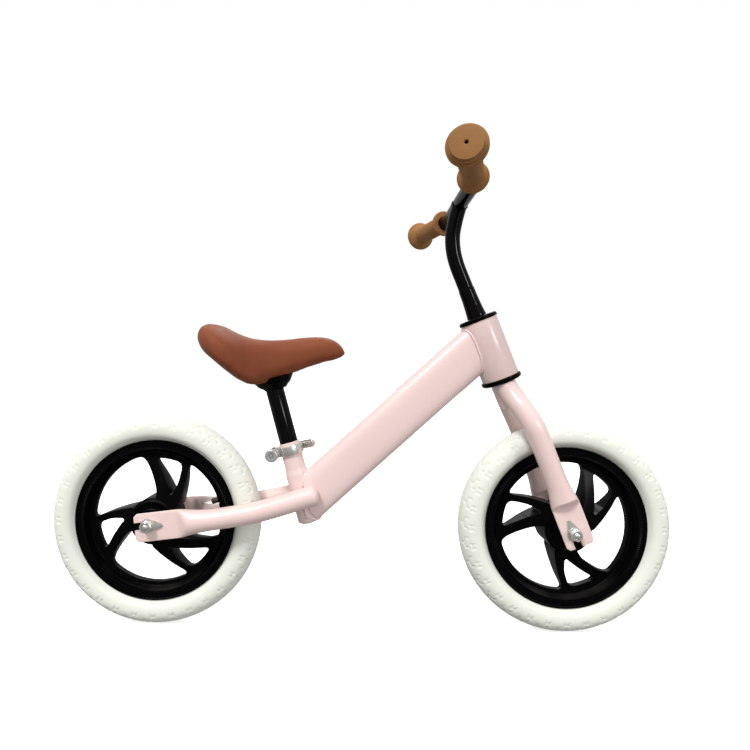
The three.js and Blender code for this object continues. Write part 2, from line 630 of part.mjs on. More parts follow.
const bar = barCurve();
const FORWARD = new THREE.Vector3(1, 0, 0);
const BAR_SPANS = 11;
const crossbar = cut(
  swept(bar, BAR_SPANS, 12, FORWARD, round(BAR_RADIUS)),
  swept(bar, BAR_SPANS, 8, FORWARD, round(BAR_RADIUS - WALL)),
);
const STEM_SPANS = 7;
const stemBody = swept(stemPath, 2 * STEM_SPANS, 12, SIDEWAYS, round(BAR_RADIUS));
const flare = turnedUp([
  [0, stemBase], [13.2, stemBase], [12.2, stemBase + 4], [12, stemBase + 42], [BAR_RADIUS, stemBase + 46],
  [0, stemBase + 46],
], 16);
const stemBore = swept(stemPath, STEM_SPANS, 8, SIDEWAYS, round(BAR_RADIUS - WALL));
const barSaddleCut = new THREE.CylinderGeometry(BAR_RADIUS + 2 * GAP, BAR_RADIUS + 2 * GAP, 80, 20);
barSaddleCut.translate(barCentre[0], 0, barCentre[1]);
const stem = cut(join(stemBody, flare), stemBore, barSaddleCut);
fork.add(part('handlebar_stem', stem, BLACK_STEEL));
fork.add(part('crossbar', crossbar, BLACK_STEEL));

// A grip: an end cap with a vent hole, an outer flange, the barrel and a smaller inner flange.
function gripShape() {
  const inside = BAR_RADIUS + GAP;
  const length = barEnd(1).distanceTo(barCorner(1)) - 14;
  return turned([
    [inside, 0], [18.5, 0], [19.6, 2], [19.3, 5], [14, 10], [14, length - 22], [21.5, length - 12],
    [23, length - 8], [21, length - 3.5], [17, length], [2, length], [2, length - GRIP_END_WALL],
    [inside, length - GRIP_END_WALL],
  ], 16);
}

for (const [side, sign] of [['right', -1], ['left', 1]]) {
  const grip = part(`grip_${side}`, gripShape(), TAN_RUBBER);
  grip.quaternion.setFromUnitVectors(SIDEWAYS, barDirection(sign));
  grip.position.copy(barCorner(sign).addScaledVector(barDirection(sign), 14));
  fork.add(grip);
}

// The quill's wedge and its long bolt, reached from under the steerer.
const wedge = turnedUp([[4.3, 12], [11, 12], [11, 33.6], [4.3, 33.6]], 18);
fork.add(part('stem_wedge', wedge, CHROME));
const boltHead = rod(6.5, STEERER_LOW + 40, STEERER_LOW + 48, 6);
fork.add(part('wedge_bolt', join(boltHead, rod(4, STEERER_LOW + 44, 60, 16)), CHROME));
fork.add(part('wedge_bolt_washer', sleeve(4.3, 11.1, 6.4, 8.4), CHROME));

// ---- Seatpost and saddle -----------------------------------------------------------------------

const seatpost = sleeve(SEATPOST_RADIUS - WALL, SEATPOST_RADIUS, SEATPOST_FOOT, SEATPOST_TOP);
seat.add(part('seatpost', seatpost, BLACK_STEEL));
const plugHead = SEATPOST_RADIUS - 0.4;
const plugStem = SEATPOST_RADIUS - 2;
const postPlug = turnedUp([
  [0, -2.3], [plugHead, -2.3], [plugHead, -GAP], [plugStem, -GAP], [plugStem, 10], [0, 10],
], 20);
seat.add(part('seatpost_plug', postPlug.translate(0, 0, SEATPOST_FOOT), BLACK_PLASTIC));

// The bracket: a dished cup on top of the post, screwed up into the saddle base.
const BRACKET_TOP = 207.5;
const BRACKET_FORWARD = 2;
const bracketCup = turnedUp([
  [0, 191], [15, 191], [17.5, 194], [21.5, 196.5], [24, 200], [28, 206], [28.5, BRACKET_TOP], [0, BRACKET_TOP],
], 24);
bracketCup.translate(BRACKET_FORWARD, 0, 0);
const bracketBore = rod(SEATPOST_RADIUS + GAP, 180, SEATPOST_TOP + GAP);
seat.add(part('saddle_bracket', cut(bracketCup, bracketBore), BLACK_PLASTIC));

// The saddle's outline along X: [x, underside, top, half width].
const SADDLE_STATIONS = [
  [-228, 394, 406, 16], [-222, 385, 413, 34], [-213, 374, 417.5, 54], [-200, 361, 415, 67],
  [-182, 346.5, 405.5, 70], [-163, 337, 398, 60], [-150, 334, 395, 50], [-130, 340, 393.5, 39],
  [-105, 350.5, 395, 31], [-80, 359, 398.5, 27], [-55, 367, 401.5, 25], [-38, 371, 397.5, 21],
  [-28, 374, 389, 15], [-23.5, 376, 382, 8],
];

function saddleAt(x) {
  const last = SADDLE_STATIONS.length - 2;
  const behind = SADDLE_STATIONS.filter((row) => row[0] <= x).length;
  const i = THREE.MathUtils.clamp(behind - 1, 0, last);
  const [a, b] = [SADDLE_STATIONS[i], SADDLE_STATIONS[i + 1]];
  const k = THREE.MathUtils.clamp((x - a[0]) / (b[0] - a[0]), 0, 1);
  return a.map((value, column) => value + (b[column] - value) * k);
}

// A solid between underside + low and a top that is either the saddle's own or a fixed thickness.
function saddleSolid(inset, low, thickness, sides, squareness) {
  const [rear, nose] = [SADDLE_STATIONS[0][0] + inset, SADDLE_STATIONS.at(-1)[0] - inset];
  const line = new THREE.LineCurve3(new THREE.Vector3(rear, 0, 0), new THREE.Vector3(nose, 0, 0));
  const steps = 14;
  const shape = swept(line, steps, sides, SIDEWAYS, () => [1, 1, squareness]);
  const position = shape.attributes.position;
  for (let i = 0; i < position.count; i += 1) {
    const x = position.getX(i);
    const [, under, top, halfWidth] = saddleAt(x);
    const bottom = under + low;
    const upper = thickness ? bottom + thickness : top;
    const middle = (bottom + upper) / 2;
    const z = middle + position.getZ(i) * Math.max((upper - bottom) / 2, 0.5);
    position.setY(i, position.getY(i) * Math.max(halfWidth - inset, 2));
    position.setZ(i, z);
  }
  return shape;
}

const saddlePocket = saddleSolid(4.5, -12, 22.6, 12, 0.25);
bike.add(part('saddle_cover', cut(saddleSolid(0, 0, 0, 14, 0.75), saddlePocket), BROWN_VINYL));
const bracketClear = leaningRod(SEAT_TUBE_BOTTOM, SEAT_LEAN, 30, 150, BRACKET_TOP + GAP);
const basePan = cut(saddleSolid(9, 4.5, 4, 12, 0.3), bracketClear.translate(BRACKET_FORWARD, 0, 0));
bike.add(part('saddle_base', basePan, BLACK_PLASTIC));

export default bike;
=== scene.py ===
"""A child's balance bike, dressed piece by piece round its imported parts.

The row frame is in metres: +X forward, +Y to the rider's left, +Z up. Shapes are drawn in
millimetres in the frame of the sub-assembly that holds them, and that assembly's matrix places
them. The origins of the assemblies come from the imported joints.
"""

import json
import logging
import math
from dataclasses import dataclass
from enum import Enum
from typing import Callable, Optional, Sequence

import bmesh
import bpy
from mathutils import Matrix, Vector

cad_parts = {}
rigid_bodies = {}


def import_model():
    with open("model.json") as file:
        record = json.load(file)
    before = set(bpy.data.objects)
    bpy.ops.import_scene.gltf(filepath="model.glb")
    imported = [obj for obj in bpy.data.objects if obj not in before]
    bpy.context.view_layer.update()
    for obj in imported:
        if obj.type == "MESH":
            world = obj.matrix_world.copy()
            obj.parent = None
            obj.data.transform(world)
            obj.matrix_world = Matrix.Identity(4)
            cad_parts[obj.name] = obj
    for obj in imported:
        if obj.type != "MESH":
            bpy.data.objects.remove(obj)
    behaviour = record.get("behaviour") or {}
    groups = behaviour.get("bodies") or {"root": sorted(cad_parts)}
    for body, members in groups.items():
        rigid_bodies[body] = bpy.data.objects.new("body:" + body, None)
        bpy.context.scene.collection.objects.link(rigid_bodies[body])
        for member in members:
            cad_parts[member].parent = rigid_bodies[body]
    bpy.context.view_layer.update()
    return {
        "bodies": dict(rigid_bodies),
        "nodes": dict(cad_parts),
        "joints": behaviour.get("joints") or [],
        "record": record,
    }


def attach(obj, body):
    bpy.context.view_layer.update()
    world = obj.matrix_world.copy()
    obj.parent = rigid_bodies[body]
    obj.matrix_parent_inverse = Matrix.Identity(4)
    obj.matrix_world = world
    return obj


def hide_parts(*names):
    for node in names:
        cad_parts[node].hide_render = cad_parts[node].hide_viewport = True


log = logging.getLogger("balance_bike")

MM = 0.001
GAP = 0.3
SIDEWAYS = Vector((0, 1, 0))
Profile = Sequence[tuple[float, float]]
Section = Callable[[float], tuple[float, float, float]]


# ---- Curves and outlines -----------------------------------------------------------------------


class Spline:
    """A smooth curve through points, with a parameter that runs evenly from point to point."""

    def __init__(self, points: Sequence[Sequence[float]]) -> None:
        """Keeps the points, with one more mirrored beyond each end.

        Args:
            points: the points the curve passes through, in order.
        """
        inner = [Vector(point) for point in points]
        before = 2 * inner[0] - inner[1]
        after = 2 * inner[-1] - inner[-2]
        self.points = [before, *inner, after]
        self.spans = len(inner) - 1

    def at(self, s: float) -> Vector:
        """A point of the curve.

        Args:
            s: the parameter, from 0 to 1.

        Returns:
            The point there.
        """
        place = min(max(s, 0.0), 1.0) * self.spans
        index = min(int(place), self.spans - 1)
        t = place - index
        p0, p1, p2, p3 = self.points[index : index + 4]
        reach = [max((b - a).length ** 0.5, 1e-4) for a, b in ((p0, p1), (p1, p2), (p2, p3))]
        leave = (p1 - p0) / reach[0] - (p2 - p0) / (reach[0] + reach[1]) + (p2 - p1) / reach[1]
        arrive = (p2 - p1) / reach[1] - (p3 - p1) / (reach[1] + reach[2]) + (p3 - p2) / reach[2]
        leave *= reach[1]
        arrive *= reach[1]
        square = 3 * (p2 - p1) - 2 * leave - arrive
        cube = 2 * (p1 - p2) + leave + arrive
        return p1 + leave * t + square * t**2 + cube * t**3

    def along(self, s: float) -> Vector:
        """The unit direction of the curve at a parameter from 0 to 1."""
        step = 1e-3
        return (self.at(s + step) - self.at(s - step)).normalized()

    def samples(self, count: int) -> list[Vector]:
        """The curve's points at count + 1 even steps of its parameter."""
        return [self.at(i / count) for i in range(count + 1)]


def rounded(corners: Profile, radius: float, count: int = 3, closed: bool = True) -> Profile:
    """Rounds the corners of an outline.

    Args:
        corners: the outline's corners.
        radius: how far along each side the rounding starts, at most 0.45 of the side.
        count: segments in each rounding.
        closed: whether the last corner joins the first.

    Returns:
        The rounded outline.
    """
    points: list[tuple[float, float]] = []
    last = len(corners) - 1
    for i, corner in enumerate(corners):
        here = Vector(corner)
        if not closed and i in (0, last):
            points.append((here.x, here.y))
            continue
        back = Vector(corners[i - 1]) - here
        onward = Vector(corners[(i + 1) % len(corners)]) - here
        start = here + back.normalized() * min(radius, 0.45 * back.length)
        end = here + onward.normalized() * min(radius, 0.45 * onward.length)
        for k in range(count + 1):
            t = k / count
            point = start * (1 - t) ** 2 + here * 2 * t * (1 - t) + end * t**2
            points.append((point.x, point.y))
    return points


def polar(radius: float, degrees: float) -> tuple[float, float]:
    """A point of a circle, as (x, z)."""
    angle = math.radians(degrees)
    return (radius * math.cos(angle), radius * math.sin(angle))


def smooth_step(k: float) -> float:
    """Eases a value between 0 and 1."""
    k = min(max(k, 0.0), 1.0)
    return k * k * (3 - 2 * k)


PLATE_CUT = 3.5  # how far the last corners of a flattened tube are cut off
CUT_START = 0.992  # the parameter where that cut begins
CUT_LENGTH = 0.008  # and the stretch it takes


def flattening(
    radius: float, width: float, thickness: float, start: float, end: float, fold: float = 0.55
) -> Section:
    """A round section that widens between two parameters and is pinched flat near the second.

    Args:
        radius: the tube's radius.
        width: the plate's width.
        thickness: the plate's thickness.
        start: the parameter where the tube begins to flatten.
        end: the parameter where the plate is flat.
        fold: the share of the way from start to end where the pinch begins.

    Returns:
        The section as a function of the parameter; the plate's last corners are cut off.
    """

    def section(s: float) -> tuple[float, float, float]:
        """The half sizes and squareness at a parameter.

        Args:
            s: the parameter, from 0 to 1.

        Returns:
            The two half sizes and the squareness.
        """
        k = min(max((s - start) / (end - start), 0.0), 1.0)
        pinch = smooth_step((k - fold) / (1 - fold))
        corner = PLATE_CUT * max((s - CUT_START) / CUT_LENGTH, 0) ** 2
        return (
            radius + (width / 2 - radius) * smooth_step(k) - corner,
            radius + (thickness / 2 - radius) * pinch,
            1 - 0.7 * pinch,
        )

    return section


# ---- Mesh makers -------------------------------------------------------------------------------


def spun(profile: Profile, steps: int = 64, closed: bool = True) -> bmesh.types.BMesh:
    """Turns an outline round the Y axis.

    Args:
        profile: (radius, y) points.
        steps: segments round the axis.
        closed: whether the outline is a loop; an open one starts and ends on the axis.

    Returns:
        A closed shell.
    """
    bm = bmesh.new()
    verts = [bm.verts.new((radius, y, 0)) for radius, y in profile]
    pairs = list(zip(verts, verts[1:]))
    if closed:
        pairs.append((verts[-1], verts[0]))
    edges = [bm.edges.new(pair) for pair in pairs]
    bmesh.ops.spin(
        bm,
        geom=[*verts, *edges],
        cent=(0, 0, 0),
        axis=(0, 1, 0),
        angle=2 * math.pi,
        steps=steps,
        use_merge=True,
    )
    bmesh.ops.remove_doubles(bm, verts=bm.verts, dist=1e-3)
    bmesh.ops.recalc_face_normals(bm, faces=bm.faces)
    return bm


def upright(bm: bmesh.types.BMesh) -> bmesh.types.BMesh:
    """Turns a shape so that its Y axis stands along Z."""
    bmesh.ops.transform(bm, matrix=Matrix.Rotation(math.pi / 2, 4, "X"), verts=bm.verts)
    return bm


def moved(bm: bmesh.types.BMesh, *matrices: Matrix) -> bmesh.types.BMesh:
    """Applies matrices to a shape, the first one first.

    Args:
        bm: the shape, which is changed in place.
        matrices: the transforms, in the order they are applied.

    Returns:
        The same shape.
    """
    for matrix in matrices:
        bmesh.ops.transform(bm, matrix=matrix, verts=bm.verts)
    return bm


def shift(x: float, y: float, z: float) -> Matrix:
    """A translation."""
    return Matrix.Translation((x, y, z))


def swept(
    curve: Spline,
    steps: int,
    sides: int,
    section: Section,
    side: Vector = SIDEWAYS,
    looped: bool = False,
) -> bmesh.types.BMesh:
    """Runs a ring along a curve and closes its ends.

    Args:
        curve: the centre line.
        steps: rings along the curve.
        sides: points in a ring.
        section: gives the ring's half sizes and squareness at a parameter.
        side: the direction that the second half size follows.
        looped: whether the last ring meets the first.

    Returns:
        A closed shell.
    """
    bm = bmesh.new()
    ring = bmesh.ops.create_circle(bm, cap_ends=False, radius=1, segments=sides)["verts"]
    edges = list(bm.edges)
    first = list(edges)
    units = {tuple(v.co): v.co.copy() for v in ring}
    for step in range(steps if looped else steps + 1):
        if step:
            grown = bmesh.ops.extrude_edge_only(bm, edges=edges)["geom"]
            ring = [item for item in grown if isinstance(item, bmesh.types.BMVert)]
            edges = [
                item
                for item in grown
                if isinstance(item, bmesh.types.BMEdge) and all(v in ring for v in item.verts)
            ]
        s = step / steps
        tangent = curve.along(s)
        across = (side - tangent * side.dot(tangent)).normalized()
        normal = across.cross(tangent)
        half_normal, half_side, squareness = section(s)
        centre = curve.at(s)
        placed = {}
        for vert in ring:
            unit = units[tuple(vert.co)]
            u = math.copysign(abs(unit.x) ** squareness, unit.x) if abs(unit.x) > 1e-6 else 0
            v = math.copysign(abs(unit.y) ** squareness, unit.y) if abs(unit.y) > 1e-6 else 0
            vert.co = centre + normal * (half_normal * u) + across * (half_side * v)
            placed[tuple(vert.co)] = unit
        units = placed
    if looped:
        bmesh.ops.bridge_loops(bm, edges=[*first, *edges])
    else:
        bmesh.ops.edgeloop_fill(bm, edges=first)
        bmesh.ops.edgeloop_fill(bm, edges=edges)
    bmesh.ops.recalc_face_normals(bm, faces=bm.faces)
    return bm


def plate(outline: Profile, depth: float) -> bmesh.types.BMesh:
    """Makes a flat outline in the XZ plane thick along Y.

    Args:
        outline: (x, z) points in order.
        depth: the thickness, shared between the two sides.

    Returns:
        A closed prism.
    """
    bm = bmesh.new()
    face = bm.faces.new([bm.verts.new((x, -depth / 2, z)) for x, z in outline])
    grown = bmesh.ops.extrude_face_region(bm, geom=[face])["geom"]
    top = [item for item in grown if isinstance(item, bmesh.types.BMVert)]
    bmesh.ops.translate(bm, vec=(0, depth, 0), verts=top)
    if len(outline) > 4:
        caps = [f for f in bm.faces if len(f.verts) > 4]
        bmesh.ops.triangulate(bm, faces=caps)
    bmesh.ops.recalc_face_normals(bm, faces=bm.faces)
    return bm


def block(x: float, y: float, z: float) -> bmesh.types.BMesh:
    """A box of those sizes round the origin.

    Args:
        x: its size along X.
        y: its size along Y.
        z: its size along Z.

    Returns:
        The box.
    """
    bm = bmesh.new()
    bmesh.ops.create_cube(bm, size=1, matrix=Matrix.Diagonal((x, y, z, 1)))
    return bm


def rod(radius: float, low: float, high: float, sides: int = 48) -> bmesh.types.BMesh:
    """A round bar along Z with slightly rounded ends.

    Args:
        radius: the bar's radius.
        low: the height of its lower end.
        high: the height of its upper end.
        sides: points round it.

    Returns:
        The bar.
    """
    edge = min(0.4, radius / 4)
    corners = [(0, low), (radius, low), (radius, high), (0, high)]
    return upright(spun(rounded(corners, edge, 2, closed=False), sides, False))


def cylinder_across(radius: float, length: float, sides: int = 48) -> bmesh.types.BMesh:
    """A plain round cutter along Y."""
    corners = [(0, -length / 2), (radius, -length / 2), (radius, length / 2), (0, length / 2)]
    return spun(corners, sides, False)


def sleeve(inner: float, outer: float, low: float, high: float, sides: int = 72) -> bmesh.types.BMesh:
    """A tube along Z with softly broken edges."""
    corners = [(inner, low), (outer, low), (outer, high), (inner, high)]
    return upright(spun(rounded(corners, 0.5, 2), sides))


def merged(*shapes: bmesh.types.BMesh) -> bmesh.types.BMesh:
    """Puts several shapes into one mesh, each still its own shell.

    Args:
        shapes: the shapes, which are all freed.

    Returns:
        A new shape with all their faces.
    """
    whole = bmesh.new()
    for shape in shapes:
        carrier = bpy.data.meshes.new("carrier")
        shape.to_mesh(carrier)
        shape.free()
        whole.from_mesh(carrier)
        bpy.data.meshes.remove(carrier)
    return whole


def carved(
    shape: bmesh.types.BMesh, cutters: Sequence[bmesh.types.BMesh], operation: str = "DIFFERENCE"
) -> bmesh.types.BMesh:
    """Cuts shapes out of a shape, or joins them to it.

    Args:
        shape: the shape that is kept.
        cutters: the shapes taken away or added; they are used up.
        operation: the Boolean modifier's operation.

    Returns:
        The new shape.
    """
    holder = as_object("carving", shape)
    tools = [as_object("cutter", cutter) for cutter in cutters]
    for tool in tools:
        modifier = holder.modifiers.new("carve", "BOOLEAN")
        modifier.operation = operation
        modifier.solver = "EXACT"
        modifier.object = tool
    result = evaluated(holder)
    for spent in [holder, *tools]:
        mesh = spent.data
        bpy.data.objects.remove(spent)
        bpy.data.meshes.remove(mesh)
    return result


def as_object(name: str, bm: bmesh.types.BMesh) -> bpy.types.Object:
    """Turns a shape into a linked object.

    Args:
        name: the name of the object and its mesh.
        bm: the shape, which is freed.

    Returns:
        The new object.
    """
    mesh = bpy.data.meshes.new(name)
    bm.to_mesh(mesh)
    bm.free()
    made = bpy.data.objects.new(name, mesh)
    bpy.context.scene.collection.objects.link(made)
    return made


def evaluated(holder: bpy.types.Object) -> bmesh.types.BMesh:
    """A copy of an object's mesh with its modifiers worked out.

    Args:
        holder: the object with the modifiers.

    Returns:
        A new shape; the object keeps its own mesh.
    """
    depsgraph = bpy.context.evaluated_depsgraph_get()
    depsgraph.update()
    mesh = bpy.data.meshes.new_from_object(holder.evaluated_get(depsgraph))
    bm = bmesh.new()
    bm.from_mesh(mesh)
    bpy.data.meshes.remove(mesh)
    return bm


# ---- Shared surface effects --------------------------------------------------------------------


class EffectGroup:
    """A shader node group with named sockets, built once."""

    def __init__(self, name: str, inputs: dict[str, str], outputs: dict[str, str]) -> None:
        """Makes the group and its sockets.

        Args:
            name: the group's name.
            inputs: socket names and their types.
            outputs: socket names and their types.
        """
        self.tree = bpy.data.node_groups.new(name, "ShaderNodeTree")
        for socket, kind in inputs.items():
            self.tree.interface.new_socket(name=socket, in_out="INPUT", socket_type=kind)
        for socket, kind in outputs.items():
            self.tree.interface.new_socket(name=socket, in_out="OUTPUT", socket_type=kind)
        self.entry = self.tree.nodes.new("NodeGroupInput")
        self.exit = self.tree.nodes.new("NodeGroupOutput")

    def node(self, kind: str, **settings: object) -> bpy.types.Node:
        """Adds a node with the given properties.

        Args:
            kind: the node's type.
            settings: properties to set on it, by name.

        Returns:
            The node.
        """
        made = self.tree.nodes.new(kind)
        for key, value in settings.items():
            setattr(made, key, value)
        return made

    def link(self, source: bpy.types.NodeSocket, target: bpy.types.NodeSocket) -> None:
        """Joins two sockets."""
        self.tree.links.new(source, target)

    def noise(self, scale: bpy.types.NodeSocket, detail: float, stretch: Vector) -> bpy.types.Node:
        """Noise on the piece's own coordinates.

        Args:
            scale: the socket that gives the noise's scale.
            detail: octaves of detail.
            stretch: factors along the axes.

        Returns:
            The noise node.
        """
        place = self.node("ShaderNodeTexCoord")
        mapping = self.node("ShaderNodeMapping")
        mapping.inputs["Scale"].default_value = stretch
        texture = self.node("ShaderNodeTexNoise")
        texture.inputs["Detail"].default_value = detail
        self.link(place.outputs["Object"], mapping.inputs["Vector"])
        self.link(mapping.outputs["Vector"], texture.inputs["Vector"])
        self.link(scale, texture.inputs["Scale"])
        return texture

    def ranged(self, value: bpy.types.NodeSocket, low: float, high: float) -> bpy.types.Node:
        """Stretches the part of a value from low to high over 0 to 1.

        Args:
            value: the socket that gives the value.
            low: the value that becomes 0.
            high: the value that becomes 1.

        Returns:
            The node that maps it.
        """
        made = self.node("ShaderNodeMapRange", clamp=True)
        made.inputs["From Min"].default_value = low
        made.inputs["From Max"].default_value = high
        self.link(value, made.inputs["Value"])
        return made

    def maths(
        self, operation: str, first: bpy.types.NodeSocket, second: object = None
    ) -> bpy.types.NodeSocket:
        """A maths node of one or two values.

        Args:
            operation: the node's operation.
            first: the first value's socket.
            second: the second value's socket, or a number.

        Returns:
            The output socket.
        """
        made = self.node("ShaderNodeMath", operation=operation)
        self.link(first, made.inputs[0])
        if isinstance(second, (int, float)):
            made.inputs[1].default_value = second
        elif second is not None:
            self.link(second, made.inputs[1])
        return made.outputs[0]


FLOAT = "NodeSocketFloat"
COLOUR = "NodeSocketColor"


def tone_group() -> EffectGroup:
    """Slow changes of tone and gloss over a surface, with a little settled dust on top of it.

    Returns:
        The node group.
    """
    group = EffectGroup(
        "tone_and_dust",
        {"Colour": COLOUR, "Dust": COLOUR, "Scale": FLOAT, "Amount": FLOAT, "Gloss": FLOAT, "Spread": FLOAT},
        {"Colour": COLOUR, "Roughness": FLOAT},
    )
    entry = group.entry.outputs
    broad = group.noise(entry["Scale"], 4.0, Vector((1, 1, 1)))
    patch = group.ranged(broad.outputs["Fac"], 0.35, 0.65)
    facing = group.node("ShaderNodeNewGeometry")
    split = group.node("ShaderNodeSeparateXYZ")
    group.link(facing.outputs["Normal"], split.inputs["Vector"])
    upward = group.ranged(split.outputs["Z"], 0.55, 1.0)
    settled = group.maths("MULTIPLY", upward.outputs[0], patch.outputs[0])
    deeper = group.node("ShaderNodeMix", data_type="RGBA", blend_type="MULTIPLY")
    group.link(group.maths("MULTIPLY", patch.outputs[0], entry["Amount"]), deeper.inputs[0])
    group.link(entry["Colour"], deeper.inputs[6])
    group.link(entry["Colour"], deeper.inputs[7])
    dusted = group.node("ShaderNodeMix", data_type="RGBA")
    share = group.maths("MULTIPLY", settled, group.maths("MULTIPLY", entry["Amount"], 0.12))
    group.link(share, dusted.inputs[0])
    group.link(deeper.outputs[2], dusted.inputs[6])
    group.link(entry["Dust"], dusted.inputs[7])
    group.link(dusted.outputs[2], group.exit.inputs["Colour"])
    swing = group.maths("MULTIPLY", patch.outputs[0], entry["Spread"])
    group.link(group.maths("ADD", entry["Gloss"], swing), group.exit.inputs["Roughness"])
    return group


def ripple_group() -> EffectGroup:
    """The fine uneven skin of paint, rubber and moulded plastic.

    Returns:
        The node group.
    """
    group = EffectGroup("fine_skin", {"Scale": FLOAT, "Fine": FLOAT}, {"Height": FLOAT})
    entry = group.entry.outputs
    wide = group.noise(entry["Scale"], 2.0, Vector((1, 1, 1)))
    tight = group.noise(entry["Fine"], 5.0, Vector((1, 1, 1)))
    weaker = group.maths("MULTIPLY", tight.outputs["Fac"], 0.35)
    group.link(group.maths("ADD", wide.outputs["Fac"], weaker), group.exit.inputs["Height"])
    return group


def grain_group() -> EffectGroup:
    """The pebbled grain of leather-look vinyl, as a height and a mask of its creases.

    Returns:
        The node group.
    """
    group = EffectGroup("pebble_grain", {"Scale": FLOAT}, {"Height": FLOAT, "Crease": FLOAT})
    entry = group.entry.outputs
    place = group.node("ShaderNodeTexCoord")
    wander = group.noise(entry["Scale"], 2.0, Vector((0.6, 0.6, 0.6)))
    bend = group.node("ShaderNodeMix", data_type="RGBA")
    bend.inputs[0].default_value = 0.012
    cells = group.node("ShaderNodeTexVoronoi", feature="DISTANCE_TO_EDGE")
    group.link(place.outputs["Object"], bend.inputs[6])
    group.link(wander.outputs["Color"], bend.inputs[7])
    group.link(bend.outputs[2], cells.inputs["Vector"])
    group.link(entry["Scale"], cells.inputs["Scale"])
    pebble = group.ranged(cells.outputs["Distance"], 0.0, 0.28)
    fine = group.noise(entry["Scale"], 6.0, Vector((2.4, 2.4, 2.4)))
    speck = group.maths("MULTIPLY", fine.outputs["Fac"], 0.4)
    group.link(group.maths("ADD", pebble.outputs[0], speck), group.exit.inputs["Height"])
    group.link(group.maths("SUBTRACT", group.ranged(pebble.outputs[0], 0, 1).outputs[0], 0.0),
               group.exit.inputs["Crease"])
    return group


def brushed_group() -> EffectGroup:
    """Fine drawn lines of plated steel, as a height and a change of gloss.

    Returns:
        The node group.
    """
    group = EffectGroup("drawn_lines", {"Scale": FLOAT, "Gloss": FLOAT}, {"Height": FLOAT, "Roughness": FLOAT})
    entry = group.entry.outputs
    lines = group.noise(entry["Scale"], 3.0, Vector((1, 6, 1)))
    smear = group.noise(entry["Scale"], 4.0, Vector((0.12, 0.12, 0.12)))
    wide = group.maths("MULTIPLY", group.ranged(smear.outputs["Fac"], 0.3, 0.7).outputs[0], 0.16)
    group.link(lines.outputs["Fac"], group.exit.inputs["Height"])
    group.link(group.maths("ADD", entry["Gloss"], wide), group.exit.inputs["Roughness"])
    return group


class Effects:
    """The node groups that the finishes share."""

    def __init__(self) -> None:
        """Builds each group once."""
        self.tone = tone_group().tree
        self.skin = ripple_group().tree
        self.grain = grain_group().tree
        self.lines = brushed_group().tree


class Skin(Enum):
    """Which shared effect gives a finish its relief."""

    RIPPLE = "ripple"
    GRAIN = "grain"
    LINES = "lines"


@dataclass(frozen=True)
class Finish:
    """One material of the bike and the numbers that make it up."""

    slot: str
    colour: tuple[float, float, float]
    gloss: float
    spread: float
    skin: Skin
    relief: float
    scale: float
    fine: float
    tone: float = 0.25
    metal: float = 0.0
    coat: float = 0.0
    coat_gloss: float = 0.1
    specular: float = 0.5

    def material(self, effects: Effects) -> bpy.types.Material:
        """Builds the material's nodes.

        Args:
            effects: the shared node groups.

        Returns:
            The material.
        """
        made = bpy.data.materials.new(self.slot)
        made.use_nodes = True
        nodes, links = made.node_tree.nodes, made.node_tree.links
        shader = nodes["Principled BSDF"]
        shader.inputs["Metallic"].default_value = self.metal
        shader.inputs["Coat Weight"].default_value = self.coat
        shader.inputs["Coat Roughness"].default_value = self.coat_gloss
        shader.inputs["Specular IOR Level"].default_value = self.specular
        made.diffuse_color = (*self.colour, 1)
        tone = nodes.new("ShaderNodeGroup")
        tone.node_tree = effects.tone
        tone.inputs["Colour"].default_value = (*self.colour, 1)
        tone.inputs["Dust"].default_value = (0.6, 0.57, 0.52, 1)
        tone.inputs["Scale"].default_value = 14.0
        tone.inputs["Amount"].default_value = self.tone
        tone.inputs["Gloss"].default_value = self.gloss
        tone.inputs["Spread"].default_value = self.spread
        links.new(tone.outputs["Colour"], shader.inputs["Base Color"])
        bump = nodes.new("ShaderNodeBump")
        bump.inputs["Strength"].default_value = 0.6
        bump.inputs["Distance"].default_value = self.relief * MM
        relief = nodes.new("ShaderNodeGroup")
        relief.node_tree = {
            Skin.RIPPLE: effects.skin,
            Skin.GRAIN: effects.grain,
            Skin.LINES: effects.lines,
        }[self.skin]
        relief.inputs["Scale"].default_value = self.scale
        if self.skin is Skin.RIPPLE:
            relief.inputs["Fine"].default_value = self.fine
        if self.skin is Skin.LINES:
            relief.inputs["Gloss"].default_value = self.gloss
            links.new(relief.outputs["Roughness"], shader.inputs["Roughness"])
        else:
            links.new(tone.outputs["Roughness"], shader.inputs["Roughness"])
        links.new(relief.outputs["Height"], bump.inputs["Height"])
        links.new(bump.outputs["Normal"], shader.inputs["Normal"])
        return made


